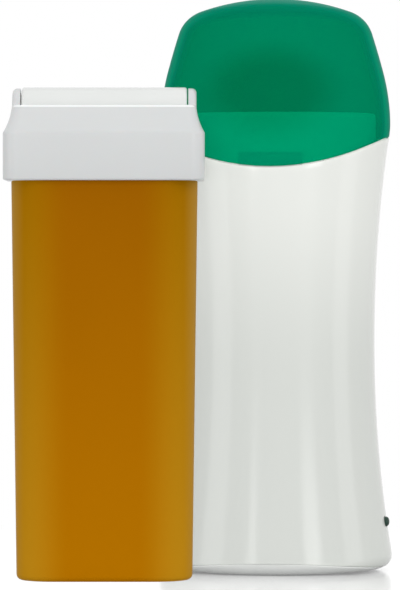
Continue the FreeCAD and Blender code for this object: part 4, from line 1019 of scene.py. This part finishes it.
# white polypropylene: slightly waxy, soft gloss
head_finish = surface(
    "polypropylene_white", "#D3D5D5", "#CED0D0", 25, 0.3, 1.2, 0.006,
    IOR=1.49, Subsurface_Weight=0.05, Subsurface_Scale=0.001,
)
# painted highlight: a pale line is painted along the top of the lip beside the roller: how far in
# from the lip's face and how far below its top the line starts and is full
LIP_HIGHLIGHT_IN = (1.2, 0.8)
LIP_HIGHLIGHT_DOWN = (0.75, 0.45)
tree = head_finish.node_tree
axes = cartridge_axes(tree)
lip_top, _, lip_face = BROW[-1]
forward = add(tree, "ShaderNodeMath", {0: axes["Y"]}, operation="ABSOLUTE").outputs[0]
outward = (forward, *[lip_face - inset for inset in LIP_HIGHLIGHT_IN])
upward = (axes["Z"], *[lip_top - drop for drop in LIP_HIGHLIGHT_DOWN])
tint(head_finish, zone(tree, outward, upward), linear("#F2F4F4"))
dress(head, head_finish)
stand_for(head, "cartridge_head", "cartridge")
dress(nodes["metering_gate"], head_finish)

# ---------------------------------------------------------------- roller
# A smooth white roller with rounded ends turns on a steel pin between the ears.

ROLLER_RADIUS = 7.6
ROLLER_HALF = 23.55
ROLLER_EDGE = 0.7
ROLLER_BORE = 1.56
# each end is dished between its hub and its edge: radii and depth
HUB_RADIUS = 4.2
DISH = (HUB_RADIUS + 0.4, ROLLER_RADIUS - 1.6)
DISH_DEPTH = 0.8
DISH_EDGE = ROLLER_RADIUS - 1.3
half_profile = [(ROLLER_BORE, 0.0), (HUB_RADIUS, 0.0)]
half_profile += [(radius, DISH_DEPTH) for radius in DISH]
half_profile.append((DISH_EDGE, 0.0))
for turn in quarter(5):
    inset, inward = ROLLER_EDGE * (1 - sin(turn)), ROLLER_EDGE * (1 - cos(turn))
    half_profile.append((ROLLER_RADIUS - inset, inward))
roller_rings = [(radius, inward - ROLLER_HALF) for radius, inward in half_profile]
roller_rings += [(radius, ROLLER_HALF - inward) for radius, inward in reversed(half_profile)]
roller_rings.append(roller_rings[0])


def roller_point(way, ring):
    """A point of the roller: out over one end, along the barrel, in over the other, and the bore."""
    radius, along = roller_rings[ring]
    angle = ROUND * way
    return along, radius * cos(angle), ROLLER_AXIS + radius * sin(angle)


roller = wrap("roller_white", 160, len(roller_rings), roller_point)
smooth(stand_cartridge(roller), 30)
# moulded white polyacetal: smooth, soft gloss
dress(roller, surface("polyacetal_white", "#E2E4E2", "#DCDEDC", 20, 0.2, 0.8, 0.003, IOR=1.48))
stand_for(roller, "roller", "roller")
dress(nodes["roller_axle"], screw_finish)

# ---------------------------------------------------------------- studio
# A white table that runs into a white background, under an even white sky. It is lit by tall
# soft boxes at both sides, two upright strips in front, a soft light above and a fill.

world = bpy.data.worlds.new("white_room")
bpy.context.scene.world = world
world.use_nodes = True
world.cycles.sampling_method = "NONE"
tree = world.node_tree
tree.nodes.clear()


def seen_share(tree):
    """1 for rays from the camera and in reflections, and 0 for rays that light a surface."""
    rays = add(tree, "ShaderNodeLightPath").outputs
    seen = rays["Is Camera Ray"]
    for kind in ("Is Glossy Ray", "Is Transmission Ray"):
        seen = add(tree, "ShaderNodeMath", {0: seen, 1: rays[kind]}, operation="MAXIMUM").outputs[0]
    return seen


# the sky lights less than it shows
WORLD_LIGHT = 0.64
ends = {"Value": seen_share(tree), "To Min": WORLD_LIGHT, "To Max": 1.0}
level = add(tree, "ShaderNodeMapRange", ends).outputs[0]
sky = add(tree, "ShaderNodeBackground", {"Color": linear("#FFFFFF"), "Strength": level})
add(tree, "ShaderNodeOutputWorld", {"Surface": sky.outputs[0]})

TABLE_SIZE = 8.0
bpy.ops.object.select_all(action="DESELECT")
bpy.ops.mesh.primitive_plane_add(size=TABLE_SIZE)
table = bpy.context.object
table.name = "table"
# smooth white paper, which glows a little where it is seen
TABLE_GLOW = 0.23
PAPER_GRAIN = 2.5
paper = bpy.data.materials.new("paper_white")
paper.use_nodes = True
tree = paper.node_tree
tree.nodes.clear()
seen = seen_share(tree)
glow = add(tree, "ShaderNodeMapRange", {"Value": seen, "To Max": TABLE_GLOW}).outputs[0]
place = add(tree, "ShaderNodeTexCoord").outputs["Object"]
grain = add(tree, "ShaderNodeTexNoise", {"Vector": place, "Scale": 1 / (PAPER_GRAIN * MM)})
shades = {0: grain.outputs[0], 6: linear("#CDCDCD"), 7: linear("#D1D1D1")}
tone = add(tree, "ShaderNodeMix", shades, data_type="RGBA").outputs[2]
values = {"Base Color": tone, "Roughness": 0.12}
values.update({"Emission Color": linear("#FFFFFF"), "Emission Strength": glow})
sheet = add(tree, "ShaderNodeBsdfPrincipled", values).outputs[0]
# away from this point, from the first distance to the second, it turns into the background
TABLE_MIDDLE = (-0.03, -0.03, 0.0)
TABLE_FADE = (100.0, 220.0)
apart = add(tree, "ShaderNodeVectorMath", {0: place, 1: TABLE_MIDDLE}, operation="DISTANCE")
far = zone(tree, (apart.outputs["Value"], *TABLE_FADE), most=seen)
white = add(tree, "ShaderNodeEmission", {"Color": linear("#FFFFFF"), "Strength": 1.0}).outputs[0]
ground = add(tree, "ShaderNodeMixShader", {0: far, 1: sheet, 2: white}).outputs[0]
add(tree, "ShaderNodeOutputMaterial", {"Surface": ground})
dress(table, paper)
table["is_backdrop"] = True


def soft_box(name, place, aim, size, power):
    """A rectangular soft light of some watts, aimed at a point. Places and sizes are in m."""
    light = bpy.data.lights.new(name, "AREA")
    light.shape = "RECTANGLE"
    light.size, light.size_y = size
    light.energy = power
    lamp = bpy.data.objects.new(name, light)
    bpy.context.scene.collection.objects.link(lamp)
    lamp.location = place
    heading = Vector(aim) - Vector(place)
    lamp.rotation_euler = heading.to_track_quat("-Z", "Y").to_euler()
    return lamp


# tall soft boxes at both sides, and a square one above
BODY_AIM = (0, 0, 0.09)
left_box = soft_box("left_box", (-0.85, -0.62, 0.35), BODY_AIM, (0.45, 1.1), 2.0)
soft_box("right_box", (0.94, -0.26, 0.35), BODY_AIM, (0.4, 1.1), 1.5)
soft_box("top_box", (0.0, 0.1, 1.1), (0, 0, 0.05), (0.9, 0.9), 1.0)
# two upright strips, from a little above the table, draw lights on the foot of the body
STRIP_AIM = (0, 0, 0.44)
left_strip = soft_box("left_strip", (-0.33, -1.05, 0.49), STRIP_AIM, (0.12, 0.8), 1.0)
soft_box("right_strip", (0.585, -0.93, 0.49), STRIP_AIM, (0.27, 0.8), 2.3)
# a soft fill over the camera, which gives light but no highlight
front_fill = soft_box("front_fill", (0.1, -1.3, 0.35), (0, 0, 0.1), (0.8, 0.8), 2.0)
front_fill.visible_glossy = False
# the cartridge doesn't stand in the way of the two lamps on its side, so it leaves no hard-edged
# shade on the white body behind it
past = bpy.data.collections.new("past_the_cartridge")
inside = [nodes[name] for name in ("wax_fill", "metering_gate", "roller_axle")]
for piece in (container, head, roller, *inside):
    past.objects.link(piece)
for entry in past.collection_objects:
    entry.light_linking.link_state = "EXCLUDE"
for lamp in (left_box, left_strip):
    lamp.light_linking.blocker_collection = past

# the camera stands level with the middle of the object and keeps upright lines upright. In m:
# its distance, how far it is moved to the side, its height and how much height it sees
CAMERA_TURN = radians(4.9)
CAMERA_REACH = 1.25
CAMERA_ASIDE = -0.0222
CAMERA_HEIGHT = 0.094
VIEW_HEIGHT = 0.1737
# in pixels: the render's size, and the row at the camera's height
PICTURE = (400, 590)
HORIZON = 250.0
# in mm: the height of its sensor
SENSOR = 36.0
camera_data = bpy.data.cameras.new("camera")
camera = bpy.data.objects.new("camera", camera_data)
bpy.context.scene.collection.objects.link(camera)
camera.location = (
    CAMERA_ASIDE * cos(CAMERA_TURN) + CAMERA_REACH * sin(CAMERA_TURN),
    CAMERA_ASIDE * sin(CAMERA_TURN) - CAMERA_REACH * cos(CAMERA_TURN),
    CAMERA_HEIGHT,
)
camera.rotation_euler = (radians(90), 0, CAMERA_TURN)
camera_data.sensor_fit = "VERTICAL"
camera_data.sensor_height = SENSOR
camera_data.lens = SENSOR * CAMERA_REACH / VIEW_HEIGHT
camera_data.shift_y = (HORIZON - PICTURE[1] / 2) / PICTURE[1]
bpy.context.scene.camera = camera
bpy.context.scene.view_settings.view_transform = "Standard"

low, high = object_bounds()
